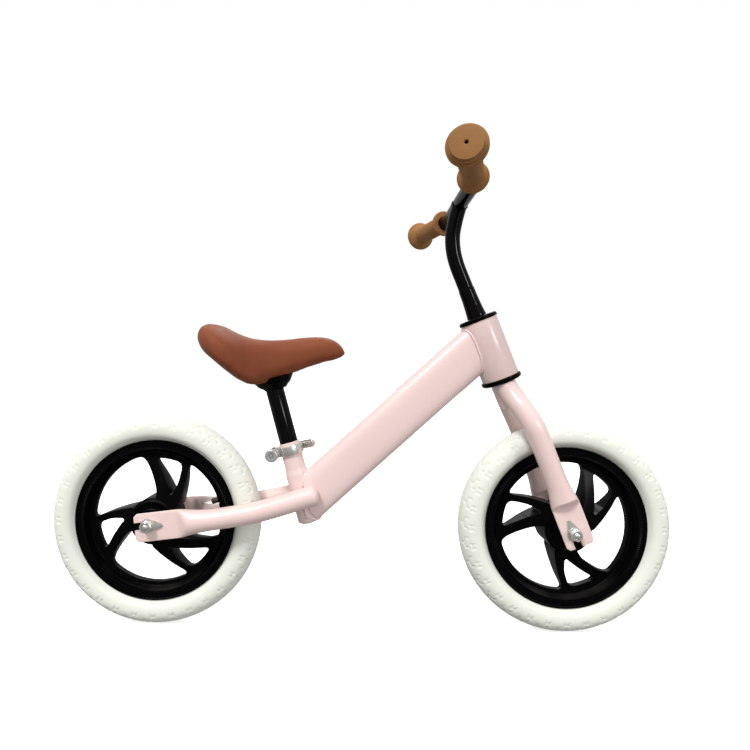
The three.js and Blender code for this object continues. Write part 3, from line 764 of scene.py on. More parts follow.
class Finishes:
    """Every finish of the bike."""

    def __init__(self, effects: Effects) -> None:
        """Builds the materials.

        Args:
            effects: the shared node groups.
        """
        kinds = [
            Finish("frame_paint", (0.80, 0.61, 0.58), 0.30, 0.08, Skin.RIPPLE, 0.05, 260, 2200, 0.08, coat=0.35,
                   coat_gloss=0.16),
            Finish("black_plastic", (0.0015, 0.0015, 0.0015), 0.2, 0.1, Skin.RIPPLE, 0.04, 320, 2600, 0.3,
                   specular=0.03),
            Finish("black_steel", (0.001, 0.001, 0.001), 0.1, 0.05, Skin.RIPPLE, 0.02, 180, 1500, 0.3, specular=0.1),
            Finish("chrome", (0.74, 0.73, 0.70), 0.20, 0.1, Skin.LINES, 0.03, 900, 0, 0.25, metal=1.0),
            Finish("tyre_rubber", (0.77, 0.78, 0.71), 0.62, 0.12, Skin.RIPPLE, 0.10, 420, 3200, 0.10, specular=0.2),
            Finish("tube_rubber", (0.012, 0.012, 0.012), 0.55, 0.1, Skin.RIPPLE, 0.08, 500, 3000),
            Finish("grip_rubber", (0.32, 0.155, 0.055), 0.62, 0.1, Skin.RIPPLE, 0.10, 700, 4200, 0.22, specular=0.15),
            Finish("saddle_vinyl", (0.235, 0.064, 0.026), 0.5, 0.1, Skin.GRAIN, 0.10, 620, 0, 0.25, specular=0.16),
        ]
        self.by_slot = {kind.slot: kind.material(effects) for kind in kinds}


# ---- Placing pieces ----------------------------------------------------------------------------


@dataclass
class Assembly:
    """A sub-assembly: a frame that its pieces are drawn in, a body that they ride on."""

    finishes: Finishes
    matrix: Matrix
    body: str

    def piece(
        self,
        name: str,
        bm: bmesh.types.BMesh,
        slot: str,
        nodes: Sequence[str],
        bevel: float = 0.0,
        crease: float = 32.0,
        body: Optional[str] = None,
    ) -> bpy.types.Object:
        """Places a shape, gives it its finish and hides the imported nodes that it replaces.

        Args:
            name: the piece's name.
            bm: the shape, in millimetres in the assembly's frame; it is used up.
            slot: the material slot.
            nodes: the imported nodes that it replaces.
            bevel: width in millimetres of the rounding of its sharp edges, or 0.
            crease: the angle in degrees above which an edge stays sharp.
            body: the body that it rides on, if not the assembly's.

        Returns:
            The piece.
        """
        scale = Matrix.Diagonal((MM, MM, MM, 1))
        place = Matrix.Translation(self.matrix.to_translation()) @ self.matrix.to_3x3().to_4x4() @ scale
        bmesh.ops.transform(bm, matrix=place, verts=bm.verts)
        made = as_object(name, bm)
        made.data.materials.append(self.finishes.by_slot[slot])
        made.data.shade_smooth()
        if bevel:
            rounding = made.modifiers.new("edges", "BEVEL")
            rounding.width = bevel * MM
            rounding.segments = 2
            rounding.limit_method = "ANGLE"
            rounding.angle_limit = math.radians(crease)
            rounding.use_clamp_overlap = True
            rounding.harden_normals = False
            soft = evaluated(made)
            made.modifiers.clear()
            soft.to_mesh(made.data)
            soft.free()
        made.data.set_sharp_from_angle(angle=math.radians(crease + 6))
        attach(made, body or self.body)
        if nodes:
            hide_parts(*nodes)
        log.info("%s: %d faces", name, len(made.data.polygons))
        return made


def leaning(origin: Vector, axis: Vector) -> Matrix:
    """The frame whose Z axis runs along an axis in the bike's centre plane.

    Args:
        origin: its origin in metres.
        axis: its Z axis.

    Returns:
        The matrix, without scale.
    """
    up = axis.normalized()
    forward = SIDEWAYS.cross(up)
    turn = Matrix((forward, SIDEWAYS, up)).transposed()
    return Matrix.Translation(origin) @ turn.to_4x4()


# ---- Wheels ------------------------------------------------------------------------------------


@dataclass
class Wheel(Assembly):
    """A moulded rim with a tube and a blocky tyre."""

    end: str = "rear"
    turn: float = 0.0
    valve_angle: float = 17.5
    tread_repeats: int = 32
    steps_per_repeat: int = 20
    groove_depth: float = 1.3
    groove_width: float = 1.5
    band_ribs: int = 200

    def build(self) -> None:
        """Makes every piece of the wheel."""
        self.tyre()
        self.rim()
        self.valve()
        self.bearings()

    def groove(self, around: float, across: float) -> float:
        """Depth of the tread's grooves, from 0 to 1.

        Args:
            around: distance round the crown within one repeat, in millimetres.
            across: distance from the crown along the profile, in millimetres.

        Returns:
            How deep the groove is there, as a share of its full depth.
        """
        pitch = 2 * math.pi * 145 / self.tread_repeats
        if across < 0:
            around += pitch / 2
            across = -across
        strokes = [
            ((1, 0), (1, 6)), ((1, 6), (9, 8)), ((9, 8), (9, 14.5)), ((9, 14.5), (2, 17)), ((2, 17), (2, 21)),
            ((1, 0), (-6, 0)), ((9, 14.5), (16, 16.5)), ((16, 16.5), (16, 20)),
            ((12, 24.5), (12, 30)), ((19, 24.5), (19, 30)), ((12, 27), (19, 27)),
        ]
        nearest = 99.0
        for start, end in strokes:
            for lap in (-pitch, 0, pitch):
                a = Vector((start[0] + lap, start[1]))
                b = Vector((end[0] + lap, end[1]))
                point = Vector((around % pitch, across))
                t = min(max((point - a).dot(b - a) / (b - a).length_squared, 0), 1)
                nearest = min(nearest, (point - a - (b - a) * t).length)
        return smooth_step(1 - nearest / self.groove_width)

    def tyre(self) -> None:
        """The carcass, with its tread grooves pressed into a fine skin."""
        half = Spline(
            [(145, 0, 0), (144.4, 5.5, 0), (142.6, 10.8, 0), (139.7, 15, 0), (135, 18.8, 0), (130, 21, 0),
             (124.5, 21.5, 0), (119, 20.6, 0), (115.4, 18.4, 0), (112.6, 15, 0), (110.9, 12.6, 0)]
        )
        skin = [(point.x, point.y) for point in half.samples(44)]
        lengths = [0.0]
        for a, b in zip(skin, skin[1:]):
            lengths.append(lengths[-1] + math.dist(a, b))
        inner = [(106, 12.2), (101, 11.8), (101, 8.8), (111, 9), (122, 17.5), (133, 16), (138.5, 9), (140, 0)]
        one = [*skin, *inner]
        other = [(radius, -y) for radius, y in reversed(one[1:-1])]
        bm = spun([*one, *other], self.tread_repeats * self.steps_per_repeat)
        known: dict[tuple[float, float], tuple[float, float, float]] = {}
        for i, (radius, y) in enumerate(skin[:-1]):
            ahead = Vector(skin[i + 1]) - Vector(skin[max(i - 1, 0)])
            normal = Vector((ahead.y, -ahead.x)).normalized()
            for sign in (-1, 1):
                known[(round(radius, 2), round(sign * y, 2))] = (sign * lengths[i], normal.x, sign * normal.y)
        pitch = 2 * math.pi / self.tread_repeats
        depths: dict[tuple[int, float], float] = {}
        for vert in bm.verts:
            x, y, z = vert.co
            found = known.get((round(math.hypot(x, z), 2), round(y, 2)))
            if found is None:
                continue
            across, out, side = found
            angle = math.atan2(z, x)
            column = round(angle / (pitch / self.steps_per_repeat)) % self.steps_per_repeat
            key = (column, across)
            if key not in depths:
                depths[key] = self.groove_depth * self.groove(column * 145 * pitch / self.steps_per_repeat, across)
            if depths[key]:
                radial = Vector((math.cos(angle) * out, side, math.sin(angle) * out))
                vert.co -= radial * depths[key]
        self.piece(f"{self.end}_tyre_skin", bm, "tyre_rubber", [f"{self.end}_tyre"], crease=60)

    def gap_outlines(self) -> list[Profile]:
        """The large and the small opening of one spoke pair, as (x, z) outlines.

        Returns:
            The large outline, then the small one.
        """
        arm = Spline([(*polar(r, a), 0) for r, a in ((35.9, 150.2), (48, 162.2), (65.9, 172.4), (80, 178.2))])
        leading = Spline([(*polar(r, a), 0) for r,
                          a in ((84, 103), (79.5, 100.8), (61.3, 94.6), (43.1, 87.2), (32, 84))])
        large: list[tuple[float, float]] = [polar(32, 84 + i * 8) for i in range(1, 9)]
        large += [(p.x, p.y) for p in arm.samples(12)]
        large += [polar(r, a) for r, a in ((84, 179.2), (86.8, 178.7), (88.2, 177.2))]
        large += [polar(88.5, 175.5 - i * 4.5) for i in range(16)]
        large += [polar(87.9, 106), polar(86.3, 104)]
        large += [(p.x, p.y) for p in leading.samples(12)]
        side = Spline([(*polar(r, a), 0) for r, a in ((44, 56.8), (60, 59.5), (74, 63.5))])
        back = Spline([(*polar(r, a), 0) for r, a in ((78, 89.5), (60, 79.5), (45, 65))])
        small: list[tuple[float, float]] = [(p.x, p.y) for p in side.samples(8)]
        small += [polar(r, a) for r, a in ((79.5, 65.2), (82.6, 67.4), (83.8, 70))]
        small += [polar(84, 72 + i * 3) for i in range(6)]
        small += [polar(r, a) for r, a in ((83.8, 89.2), (82.7, 90.4), (80.6, 90.3))]
        small += [(p.x, p.y) for p in back.samples(8)]
        small += [polar(42.3, 62.5), polar(41.6, 60), polar(42.2, 57.6)]
        return [large, small]

    def rim(self) -> None:
        """The hub and spokes cut from a turned web, and the ribbed band round them."""
        half = rounded(
            [(10.5, 20), (12.3, 20), (12.3, 27.1), (17, 27.1), (18.5, 25.4), (25, 25.4), (26.4, 27.5), (29, 27.5),
             (29, 22), (84, 4.6), (94, 4.5), (97.4, 12.5)],
            1.1, 3, closed=False,
        )
        web = [*half, *[(radius, -y) for radius, y in reversed(half)]]
        cutters = []
        for pair in range(3):
            turn = Matrix.Rotation(-math.radians(self.turn + 120 * pair), 4, "Y")
            cutters += [moved(plate(outline, 80), turn) for outline in self.gap_outlines()]
        spokes = carved(spun(web, 144), cutters)
        self.piece(f"{self.end}_spokes", spokes, "black_plastic", [f"{self.end}_rim"], bevel=1.5, crease=34)
        band = rounded(
            [(95.2, 6.6), (97.4, 13.4), (98.6, 15), (99.8, 14.5), (108, 14.3), (108.5, 15), (110.5, 15),
             (110.5, 12.7),
             (100, 12.3), (97.5, 6.5)],
            0.5, 2, closed=False,
        )
        loop = [*band, *[(radius, -y) for radius, y in reversed(band)]]
        ring = spun(loop, 2 * self.band_ribs)
        for vert in ring.verts:
            radius = math.hypot(vert.co.x, vert.co.z)
            step = round(math.atan2(vert.co.z, vert.co.x) / (math.pi / self.band_ribs))
            if 98.5 < radius < 108.2 and abs(vert.co.y) > 13.5 and step % 2:
                vert.co.y -= math.copysign(0.9, vert.co.y)
        self.piece(f"{self.end}_rim_band", ring, "black_plastic", [], crease=50)

    def valve(self) -> None:
        """The valve stem with its ribbed cap, and the tube it belongs to."""
        corners = [(0, 78.7), (3.4, 78.7), (4, 79.6), (4, 89.6), (3.2, 90), (3.2, 107), (4.2, 107.5), (4.2, 111.6),
                   (0, 111.6)]
        stem = spun(rounded(corners, 0.4, 2, closed=False), 48, False)
        for vert in stem.verts:
            column = round(math.atan2(vert.co.z, vert.co.x) / (2 * math.pi / 48))
            if 80 < vert.co.y < 89 and column % 4 < 2:
                vert.co.x *= 0.92
                vert.co.z *= 0.92
        lie = Matrix.Rotation(-math.pi / 2, 4, "Z")
        turn = Matrix.Rotation(-math.radians(self.valve_angle), 4, "Y")
        self.piece(f"{self.end}_valve_stem", moved(stem, lie, turn), "tube_rubber", [f"{self.end}_valve"])
        ring = [(125 + 12.3 * math.cos(a), 12.3 * math.sin(a)) for a in (i * math.pi / 8 for i in range(16))]
        self.piece(f"{self.end}_tube", spun(ring, 64), "tube_rubber", [f"{self.end}_inner_tube"], crease=60)

    def bearings(self) -> None:
        """The two shielded bearings of the hub."""
        for side, sign in (("right", -1), ("left", 1)):
            outline = [(4.64, -3.5), (6.2, -3.5), (6.6, -3), (10, -3), (10.4, -3.5), (12, -3.5), (12, 3.5),
                       (10.4, 3.5),
                       (10, 3), (6.6, 3), (6.2, 3.5), (4.64, 3.5)]
            ring = moved(spun(rounded(outline, 0.25, 2), 48), shift(0, sign * 23.8, 0))
            node = f"{self.end}_bearing_{side}"
            self.piece(f"{node}_ring", ring, "chrome", [node])


# ---- Axle hardware -----------------------------------------------------------------------------


@dataclass
class AxleSet(Assembly):
    """An axle with its spacers, hooked washers and nuts."""

    end: str = "rear"
    hook_angle: float = 3.0
    nut_turn: float = 12.0
    dropout: float = 38.5
    plate_thickness: float = 4.0
    radius: float = 4.5
    half_length: float = 53.5

    def build(self) -> None:
        """Makes every piece of the set."""
        self.axle()
        face = self.dropout + self.plate_thickness / 2
        for side, sign in (("right", -1), ("left", 1)):
            self.spacer(side, sign)
            self.washer(side, sign * (face + GAP + 0.8))
            self.nut(side, sign, face + 2 * GAP + 1.6)

    def axle(self) -> None:
        """The threaded rod, with a domed end."""
        half = [(0, self.half_length), (2.6, self.half_length - 0.3), (3.8, self.half_length - 1.3)]
        place = self.half_length - 2.2
        while place > 36:
            half += [(self.radius, place), (self.radius - 0.45, place - 0.5)]
            place -= 1.0
        half.append((self.radius, 34))
        whole = [*half, *[(radius, -y) for radius, y in reversed(half)]]
        self.piece(f"{self.end}_axle_rod", spun(whole, 40, False), "chrome", [f"{self.end}_axle"], crease=30)

    def spacer(self, side: str, sign: int) -> None:
        """The plain spacer between hub and dropout.

        Args:
            side: right or left.
            sign: -1 on the right, 1 on the left.
        """
        low, high = 27.8, self.dropout - self.plate_thickness / 2 - GAP
        corners = [(self.radius + GAP, low), (7, low), (7, high), (self.radius + GAP, high)]
        ring = spun(rounded([(r, sign * y) for r, y in corners], 0.5, 2), 40)
        node = f"{self.end}_axle_spacer_{side}"
        self.piece(f"{node}_ring", ring, "chrome", [node])

    def washer(self, side: str, offset: float) -> None:
        """The teardrop washer whose narrow end hooks into the dropout.

        Args:
            side: right or left.
            offset: the middle of its thickness along Y.
        """
        arc = [polar(9.4, 52 + i * 8) for i in range(33)]
        tip = [(17 + x, z) for x, z in (polar(2.8, -72 + i * 18) for i in range(9))]
        body = carved(plate([*arc, *tip], 1.6), [cylinder_across(self.radius + GAP, 6, 32)])
        turn = Matrix.Rotation(-math.radians(self.hook_angle), 4, "Y")
        node = f"{self.end}_washer_{side}"
        self.piece(f"{node}_plate", moved(body, turn, shift(0, offset, 0)), "chrome", [node], bevel=0.3)

    def nut(self, side: str, sign: int, low: float) -> None:
        """A chamfered hexagon nut with a washer face.

        Args:
            side: right or left.
            sign: -1 on the right, 1 on the left.
            low: where it starts along the axle.
        """
        hexagon = plate([polar(14 / math.sqrt(3), 60 * i + self.nut_turn) for i in range(6)], 9)
        crown = [(0, -4.5), (8.1, -4.5), (8.1, 3.2), (6.7, 4.5), (0, 4.5)]
        shape = carved(hexagon, [spun(crown, 48, False)], "INTERSECT")
        shape = carved(shape, [cylinder_across(self.radius + GAP, 20, 32)])
        if sign < 0:
            moved(shape, Matrix.Rotation(math.pi, 4, "Z"))
        node = f"{self.end}_nut_{side}"
        self.piece(f"{node}_hex", moved(shape, shift(0, sign * (low + 4.5), 0)), "chrome", [node], bevel=0.25)


# ---- Frame -------------------------------------------------------------------------------------


def bead(points: Sequence[Vector], radius: float, ripples: int) -> bmesh.types.BMesh:
    """A closed weld bead with the small ripples of its puddles.

    Args:
        points: the bead's centre line.
        radius: its size.
        ripples: how many puddles it has.

    Returns:
        A closed shell.
    """
    curve = Spline([*points, points[0]])
    steps = 3 * ripples

    def section(s: float) -> tuple[float, float, float]:
        """The bead's size at a parameter."""
        swell = radius * (1 + 0.10 * math.cos(2 * math.pi * ripples * s))
        return (swell, swell, 1.0)

    return swept(curve, steps, 8, section, Vector((0.31, 0.17, 0.93)).normalized(), looped=True)


@dataclass
class FrameTubes(Assembly):
    """The welded tubes of the frame, drawn in the bike's own frame in millimetres."""

    head: Matrix = Matrix()
    seat: Matrix = Matrix()
    head_radius: float = 25.4
    head_length: float = 84.0
    seat_radius: float = 14.3
    seat_low_radius: float = 15.9
    seat_length: float = 115.0
    down_low: Vector = Vector((-77.4, 0, 171.3))
    down_high: Vector = Vector((187, 0, 415.3))
    down_height: float = 61.5
    down_width: float = 34.0
    stay_radius: float = 14.0
    plate_width: float = 38.0
    plate_thickness: float = 4.0
    dropout: float = 38.5
    axle: Vector = Vector((-282.5, 0, 145))

    def build(self) -> None:
        """Makes the tubes and their welds."""
        self.head_tube()
        self.seat_tube()
        self.down_tube()
        for side, sign in (("right", -1), ("left", 1)):
            self.chainstay(side, sign)

    def local(self, matrix: Matrix, bm: bmesh.types.BMesh) -> bmesh.types.BMesh:
        """Moves a shape from a leaning frame into the bike's, both in millimetres."""
        place = Matrix.Translation(matrix.to_translation() / MM) @ matrix.to_3x3().to_4x4()
        return moved(bm, place)

    def head_tube(self) -> None:
        """The plain head tube."""
        tube = sleeve(23, self.head_radius, 0, self.head_length, 96)
        self.piece("head_tube_shell", self.local(self.head, tube), "frame_paint", ["head_tube"])

    def seat_tube(self) -> None:
        """The seat tube, swaged to a thinner top, with a domed foot."""
        bore = 12.8
        corners = [(0, 0), (11.5, 0), (self.seat_low_radius, 3.4), (self.seat_low_radius, 70), (self.seat_radius, 77),
                   (self.seat_radius, self.seat_length), (bore, self.seat_length), (bore, 3), (0, 3)]
        outline = rounded(corners, 1.1, 3, closed=False)
        tube = upright(spun(outline, 72, False))
        self.piece("seat_tube_shell", self.local(self.seat, tube), "frame_paint", ["seat_tube"])

    def down_section(self, s: float) -> tuple[float, float, float]:
        """The wide rounded box section of the down tube."""
        return (self.down_height / 2, self.down_width / 2, 0.62)

    def meeting(self, origin: Vector, axis: Vector, radius: float, forward: bool) -> list[Vector]:
        """The line where the down tube's skin meets a round tube.

        Args:
            origin: a point of the round tube's axis.
            axis: the direction of that axis.
            radius: the round tube's radius.
            forward: whether the down tube runs forward into it.

        Returns:
            The points of the line, all round the down tube.
        """
        run = (self.down_high - self.down_low).normalized()
        normal = SIDEWAYS.cross(run)
        line = []
        count = 48
        for i in range(count):
            angle = 2 * math.pi * i / count
            u, v = math.cos(angle), math.sin(angle)
            across = normal * math.copysign(abs(u) ** 0.62, u) * self.down_height / 2
            across += SIDEWAYS * math.copysign(abs(v) ** 0.62, v) * self.down_width / 2
            start = self.down_low + across - origin
            flat_start = start - axis * start.dot(axis)
            flat_run = run - axis * run.dot(axis)
            a = flat_run.length_squared
            b = flat_start.dot(flat_run)
            c = flat_start.length_squared - radius**2
            root = math.sqrt(max(b * b - a * c, 0))
            t = (-b - root) / a if forward else (-b + root) / a
            line.append(self.down_low + across + run * t)
        return line

    def down_tube(self) -> None:
        """The down tube, mitred at both ends, and the beads that weld it in."""
        head_origin, head_axis = self.head.to_translation() / MM, self.head.to_3x3() @ Vector((0, 0, 1))
        seat_origin, seat_axis = self.seat.to_translation() / MM, self.seat.to_3x3() @ Vector((0, 0, 1))
        line = Spline([self.down_low, (self.down_low + self.down_high) / 2, self.down_high])
        tube = swept(line, 6, 64, self.down_section)
        mitres = [
            self.local(self.head, rod(self.head_radius + 0.1, -60, 160, 96)),
            self.local(self.seat, rod(self.seat_low_radius + 0.1, -60, 160, 96)),
            self.local(self.head, moved(block(100, 100, 300), shift(50, 0, 40))),
            self.local(self.seat, moved(block(100, 100, 300), shift(-44, 0, 40))),
        ]
        self.piece("down_tube_shell", carved(tube, mitres), "frame_paint", ["down_tube"], crease=40)
        front = bead(self.meeting(head_origin, head_axis, self.head_radius, True), 1.9, 56)
        rear = bead(self.meeting(seat_origin, seat_axis, self.seat_low_radius, False), 1.7, 44)
        self.piece("head_tube_weld", front, "frame_paint", [], crease=80)
        self.piece("seat_tube_weld", rear, "frame_paint", [], crease=80)

    def chainstay(self, side: str, sign: int) -> None:
        """A stay that runs from the tube junction round the tyre to a flat dropout.

        Args:
            side: right or left.
            sign: -1 on the right, 1 on the left.
        """
        path = Spline(
            [(-57, sign * 21, 186), (-80, sign * 24.5, 180), (-110, sign * 30.5, 171.5), (-140, sign * 36, 164),
             (-170, sign * 38.3, 158.5), (-200, sign * 38.5, 153.5), (-218, sign * 38.5, 151),
             (-232, sign * 38.5, 149.3), (-245, sign * 38.5, 147.5), (-300, sign * 38.5, 140)]
        )
        flat = flattening(self.stay_radius, self.plate_width, self.plate_thickness, 4.8 / 9, 8.15 / 9, 0.5)

        def nosed(s: float) -> tuple[float, float, float]:
            """The section, rounded off at the front end.

            Args:
                s: the parameter, from 0 to 1.

            Returns:
                The two half sizes and the squareness.
            """
            k = math.sqrt(1 - (1 - min(max(s / 0.035, 0.12), 1)) ** 2)
            half_normal, half_side, squareness = flat(s)
            return (half_normal * k, half_side * k, squareness)

        body = swept(path, 120, 48, nosed)
        inside = moved(block(80, 60, 200), shift(-58, sign * (self.down_width / 2 - 30 + GAP), 180))
        cutters = [inside, *self.slot_cutters(sign)]
        stay = carved(body, cutters)
        self.piece(f"chainstay_{side}_tube", stay, "frame_paint", [f"chainstay_{side}"], bevel=0.45, crease=38)

    def slot_cutters(self, sign: int) -> list[bmesh.types.BMesh]:
        """The axle slot and the washer's hole in a rear dropout.

        Args:
            sign: -1 for the dropout on the right, 1 for the left.

        Returns:
            The shapes to cut out of it.
        """
        x, z, y = self.axle.x, self.axle.z, sign * self.dropout
        tilt = Matrix.Rotation(-math.radians(180 + 8.4), 4, "Y")
        channel = moved(block(60, 30, 10.2), shift(30, 0, 0), tilt, shift(x, y, z))
        return [
            moved(cylinder_across(5.1, 30), shift(x, y, z)),
            channel,
            moved(cylinder_across(2.2, 30, 24), shift(x + 17, y, z + 1)),
        ]


# ---- Headset, fork, bar and grips --------------------------------------------------------------


@dataclass
class Headset(Assembly):
    """The cups and bearings pressed into the head tube."""

    head_length: float = 84.0

    def build(self) -> None:
        """Makes the two cups and their bearings."""
        top = self.head_length
        upper = [(15, top + 6), (24.5, top + 6), (26.7, top + 4.4), (26.7, top + 0.3), (22.6, top + 0.3),
                 (22.6, top - 12),
                 (20.6, top - 12), (20.6, top + 1), (15, top + 1)]
        lower = [(15, -6.6), (24.8, -6.6), (27.7, -4.6), (27.7, -0.3), (22.6, -0.3), (22.6, 12), (20.6, 12),
                 (20.6, -1.6),
                 (15, -1.6)]
        for name, corners in (("headset_upper_cup", upper), ("headset_lower_cup", lower)):
            ring = upright(spun(rounded(corners, 0.7, 3), 96))
            self.piece(f"{name}_ring", ring, "black_plastic", [name])
        for name, low in (("headset_upper_bearing", top - 9), ("headset_lower_bearing", 2)):
            self.piece(f"{name}_ring", sleeve(15, 20.2, low, low + 7), "chrome", [name])


@dataclass
class Fork(Assembly):
    """The steerer and blades, drawn in the steering frame."""

    axle: Vector = Vector((5.7, 0, -222.8))
    steerer_radius: float = 14.3
    blade_radius: float = 14.0
    plate_width: float = 38.0
    plate_thickness: float = 4.0
    dropout: float = 38.5

    def build(self) -> None:
        """Makes the steerer and both blades."""
        steerer = sleeve(11.5, self.steerer_radius, -42, 88)
        self.piece("steerer_shell", steerer, "frame_paint", ["steerer_tube"])
        for side, sign in (("right", -1), ("left", 1)):
            self.blade(side, sign)

    def blade(self, side: str, sign: int) -> None:
        """A blade that bends out from the steerer and ends in a flat dropout.

        Args:
            side: right or left.
            sign: -1 on the right, 1 on the left.
        """
        rows = [(0, 6.5, 2), (0.3, 10.5, -9), (1.5, 17.5, -25), (5, 30, -46), (8, 37.5, -70), (9, 38.5, -96),
                (9, 38.5, -158), (9, 38.5, -174), (9, 38.5, -188), (9, 38.5, -242.3)]
        path = Spline([(x, sign * y, z) for x, y, z in rows])
        body = swept(
            path, 126, 48, flattening(self.blade_radius, self.plate_width, self.plate_thickness, 5.3 / 9, 8 / 9, 0.7)
        )
        x, z = self.axle.x, self.axle.z
        slot = [
            moved(cylinder_across(5.1, 30), shift(x, sign * self.dropout, z)),
            moved(block(10.2, 30, 60), shift(x, sign * self.dropout, z - 30)),
            moved(cylinder_across(2.2, 30, 24), shift(x, sign * self.dropout, z + 17)),
        ]
        cutters = [
            rod(self.steerer_radius - 0.6, -70, 30),
            moved(block(100, 60, 100), shift(0, -sign * 30.1, 8)),
            moved(block(100, 100, 50), shift(0, 0, 25 - 7)),
            *slot,
        ]
        shape = carved(body, cutters)
        self.piece(f"fork_blade_{side}_tube", shape, "frame_paint", [f"fork_blade_{side}"], bevel=0.45, crease=38)


@dataclass
class Handlebar(Assembly):
    """The stem, the crossbar and the grips, drawn in the steering frame."""

    bar_centre: Vector = Vector((34.9, 0, 246.8))
    bar_end: Vector = Vector((0, 199, 0))
    corner: float = 86.0
    radius: float = 10.4
    wall: float = 1.6

    def build(self) -> None:
        """Makes the stem, crossbar, grips and the quill's fixings."""
        self.stem()
        self.crossbar()
        for side, sign in (("right", -1), ("left", 1)):
            self.grip(side, sign)
        self.quill()

    def stem(self) -> None:
        """The stem tube with its stepped foot, bent forward to the crossbar."""
        path = Spline(
            [(0, 0, 34), (0, 0, 90), (0, 0, 145), (0, 0, 168), (2.5, 0, 188), (9, 0, 208), (20, 0, 226.5),
             self.bar_centre]
        )
        tube = swept(path, 84, 48, lambda s: (self.radius, self.radius, 1.0))
        base = 90.3
        corners = [(9, base), (13.6, base), (12.9, base + 6), (12, base + 16), (11.3, base + 28), (11, base + 41),
                   (10.3, base + 44), (9, base + 45)]
        foot = upright(spun(rounded(corners, 1.2, 3), 64))
        bore = swept(path, 40, 32, lambda s: (self.radius - self.wall, self.radius - self.wall, 1.0))
        saddle_cut = moved(cylinder_across(self.radius - 0.2, 80), Matrix.Translation(self.bar_centre))
        pipe = merged(carved(tube, [bore, saddle_cut]), foot)
        self.piece("stem_tube", pipe, "black_steel", ["handlebar_stem"])
        ring = []
        tangent = path.along(1.0)
        side_on = SIDEWAYS.cross(tangent)
        for i in range(40):
            angle = 2 * math.pi * i / 40
            out = SIDEWAYS * math.cos(angle) * self.radius
            height = math.sin(angle) * self.radius
            drop = math.sqrt(max(self.radius**2 - height**2, 0))
            ring.append(self.bar_centre + out + side_on * height - tangent * drop)
        self.piece("stem_weld", bead(ring, 1.3, 36), "black_steel", [], crease=80)

    def direction(self, sign: int) -> Vector:
        """The unit direction of a swept-back bar end."""
        end = Vector((self.bar_end.x, sign * self.bar_end.y, self.bar_end.z))
        return (end - self.bend(sign)).normalized()

    def bend(self, sign: int) -> Vector:
        """The sharp corner that the bar's bend is drawn round."""
        return Vector((self.bar_centre.x, sign * self.corner, self.bar_centre.z))

    def crossbar(self) -> None:
        """The crossbar, straight in the middle and bent back to each grip."""
        points = []
        for sign in (-1, 1):
            out = self.direction(sign)
            end = Vector((self.bar_end.x, sign * self.bar_end.y, self.bar_end.z))
            inward = [Vector((self.bar_centre.x, sign * (self.corner - reach), self.bar_centre.z))
                      for reach in (50, 15, 5)]
            outward = [self.bend(sign) + out * reach for reach in (5, 15, 50)]
            half = [*inward[:2], (inward[2] + outward[0]) / 2, *outward[1:], end - out * 3.3]
            points += half[::-1] if sign < 0 else half
        bar = Spline(points)
        ahead = Vector((1, 0, 0))
        tube = swept(bar, 132, 48, lambda s: (self.radius, self.radius, 1.0), ahead)
        bore = swept(bar, 66, 32, lambda s: (self.radius - self.wall, self.radius - self.wall, 1.0), ahead)
        self.piece("crossbar_tube", merged(tube, bore_reversed(bore)), "black_steel", ["crossbar"])

    def grip(self, side: str, sign: int) -> None:
        """A rubber grip: end cap, outer flange, ringed barrel and inner flange.

        Args:
            side: right or left.
            sign: -1 on the right, 1 on the left.
        """
        end = Vector((self.bar_end.x, sign * self.bar_end.y, self.bar_end.z))
        length = (end - self.bend(sign)).length - 14
        inside = self.radius + GAP
        barrel = Spline(
            [(13.4, 11, 0), (13.9, length * 0.3, 0), (14.2, length * 0.5, 0), (13.8, length - 30, 0),
             (13.6, length - 22, 0)]
        )
        corners = [(inside, 0), (18.2, 0), (19.5, 1.4), (19.5, 4.2), (17.2, 7.2),
                   *[(p.x, p.y) for p in barrel.samples(10)],
                   (17, length - 18), (22.2, length - 13.6), (23, length - 12), (23, length - 8),
                   (20.8, length - 7.6),
                   (20.8, length - 4.2), (18.4, length - 3.8), (18.4, length), (3, length), (2, length - 0.8),
                   (2, length - 3), (inside, length - 3)]
        shape = spun(rounded(corners, 0.7, 3), 96)
        turn = SIDEWAYS.rotation_difference(self.direction(sign)).to_matrix().to_4x4()
        start = self.bend(sign) + self.direction(sign) * 14
        self.piece(
            f"grip_{side}_rubber", moved(shape, turn, Matrix.Translation(start)), "grip_rubber", [f"grip_{side}"],
            crease=50
        )

    def quill(self) -> None:
        """The wedge, washer and long bolt inside the steerer."""
        wedge = upright(spun(rounded([(4.3, 12), (11, 12), (11, 33.6), (4.3, 33.6)], 0.6, 2), 48))
        self.piece("quill_wedge", wedge, "chrome", ["stem_wedge"])
        head = moved(plate([polar(6.5, 60 * i) for i in range(6)], 8), Matrix.Rotation(math.pi / 2, 4, "X"),
                     shift(0, 0, 2))
        self.piece("quill_bolt", merged(head, rod(4, 2, 60)), "chrome", ["wedge_bolt"], bevel=0.3)
        self.piece("quill_washer", sleeve(4.3, 11.1, 6.4, 8.4), "chrome", ["wedge_bolt_washer"])


def bore_reversed(bm: bmesh.types.BMesh) -> bmesh.types.BMesh:
    """Turns a closed core inside out, so that it reads as the bore of the tube round it."""
    bmesh.ops.reverse_faces(bm, faces=bm.faces)
    return bm


# ---- Seat clamp, seatpost and saddle -----------------------------------------------------------


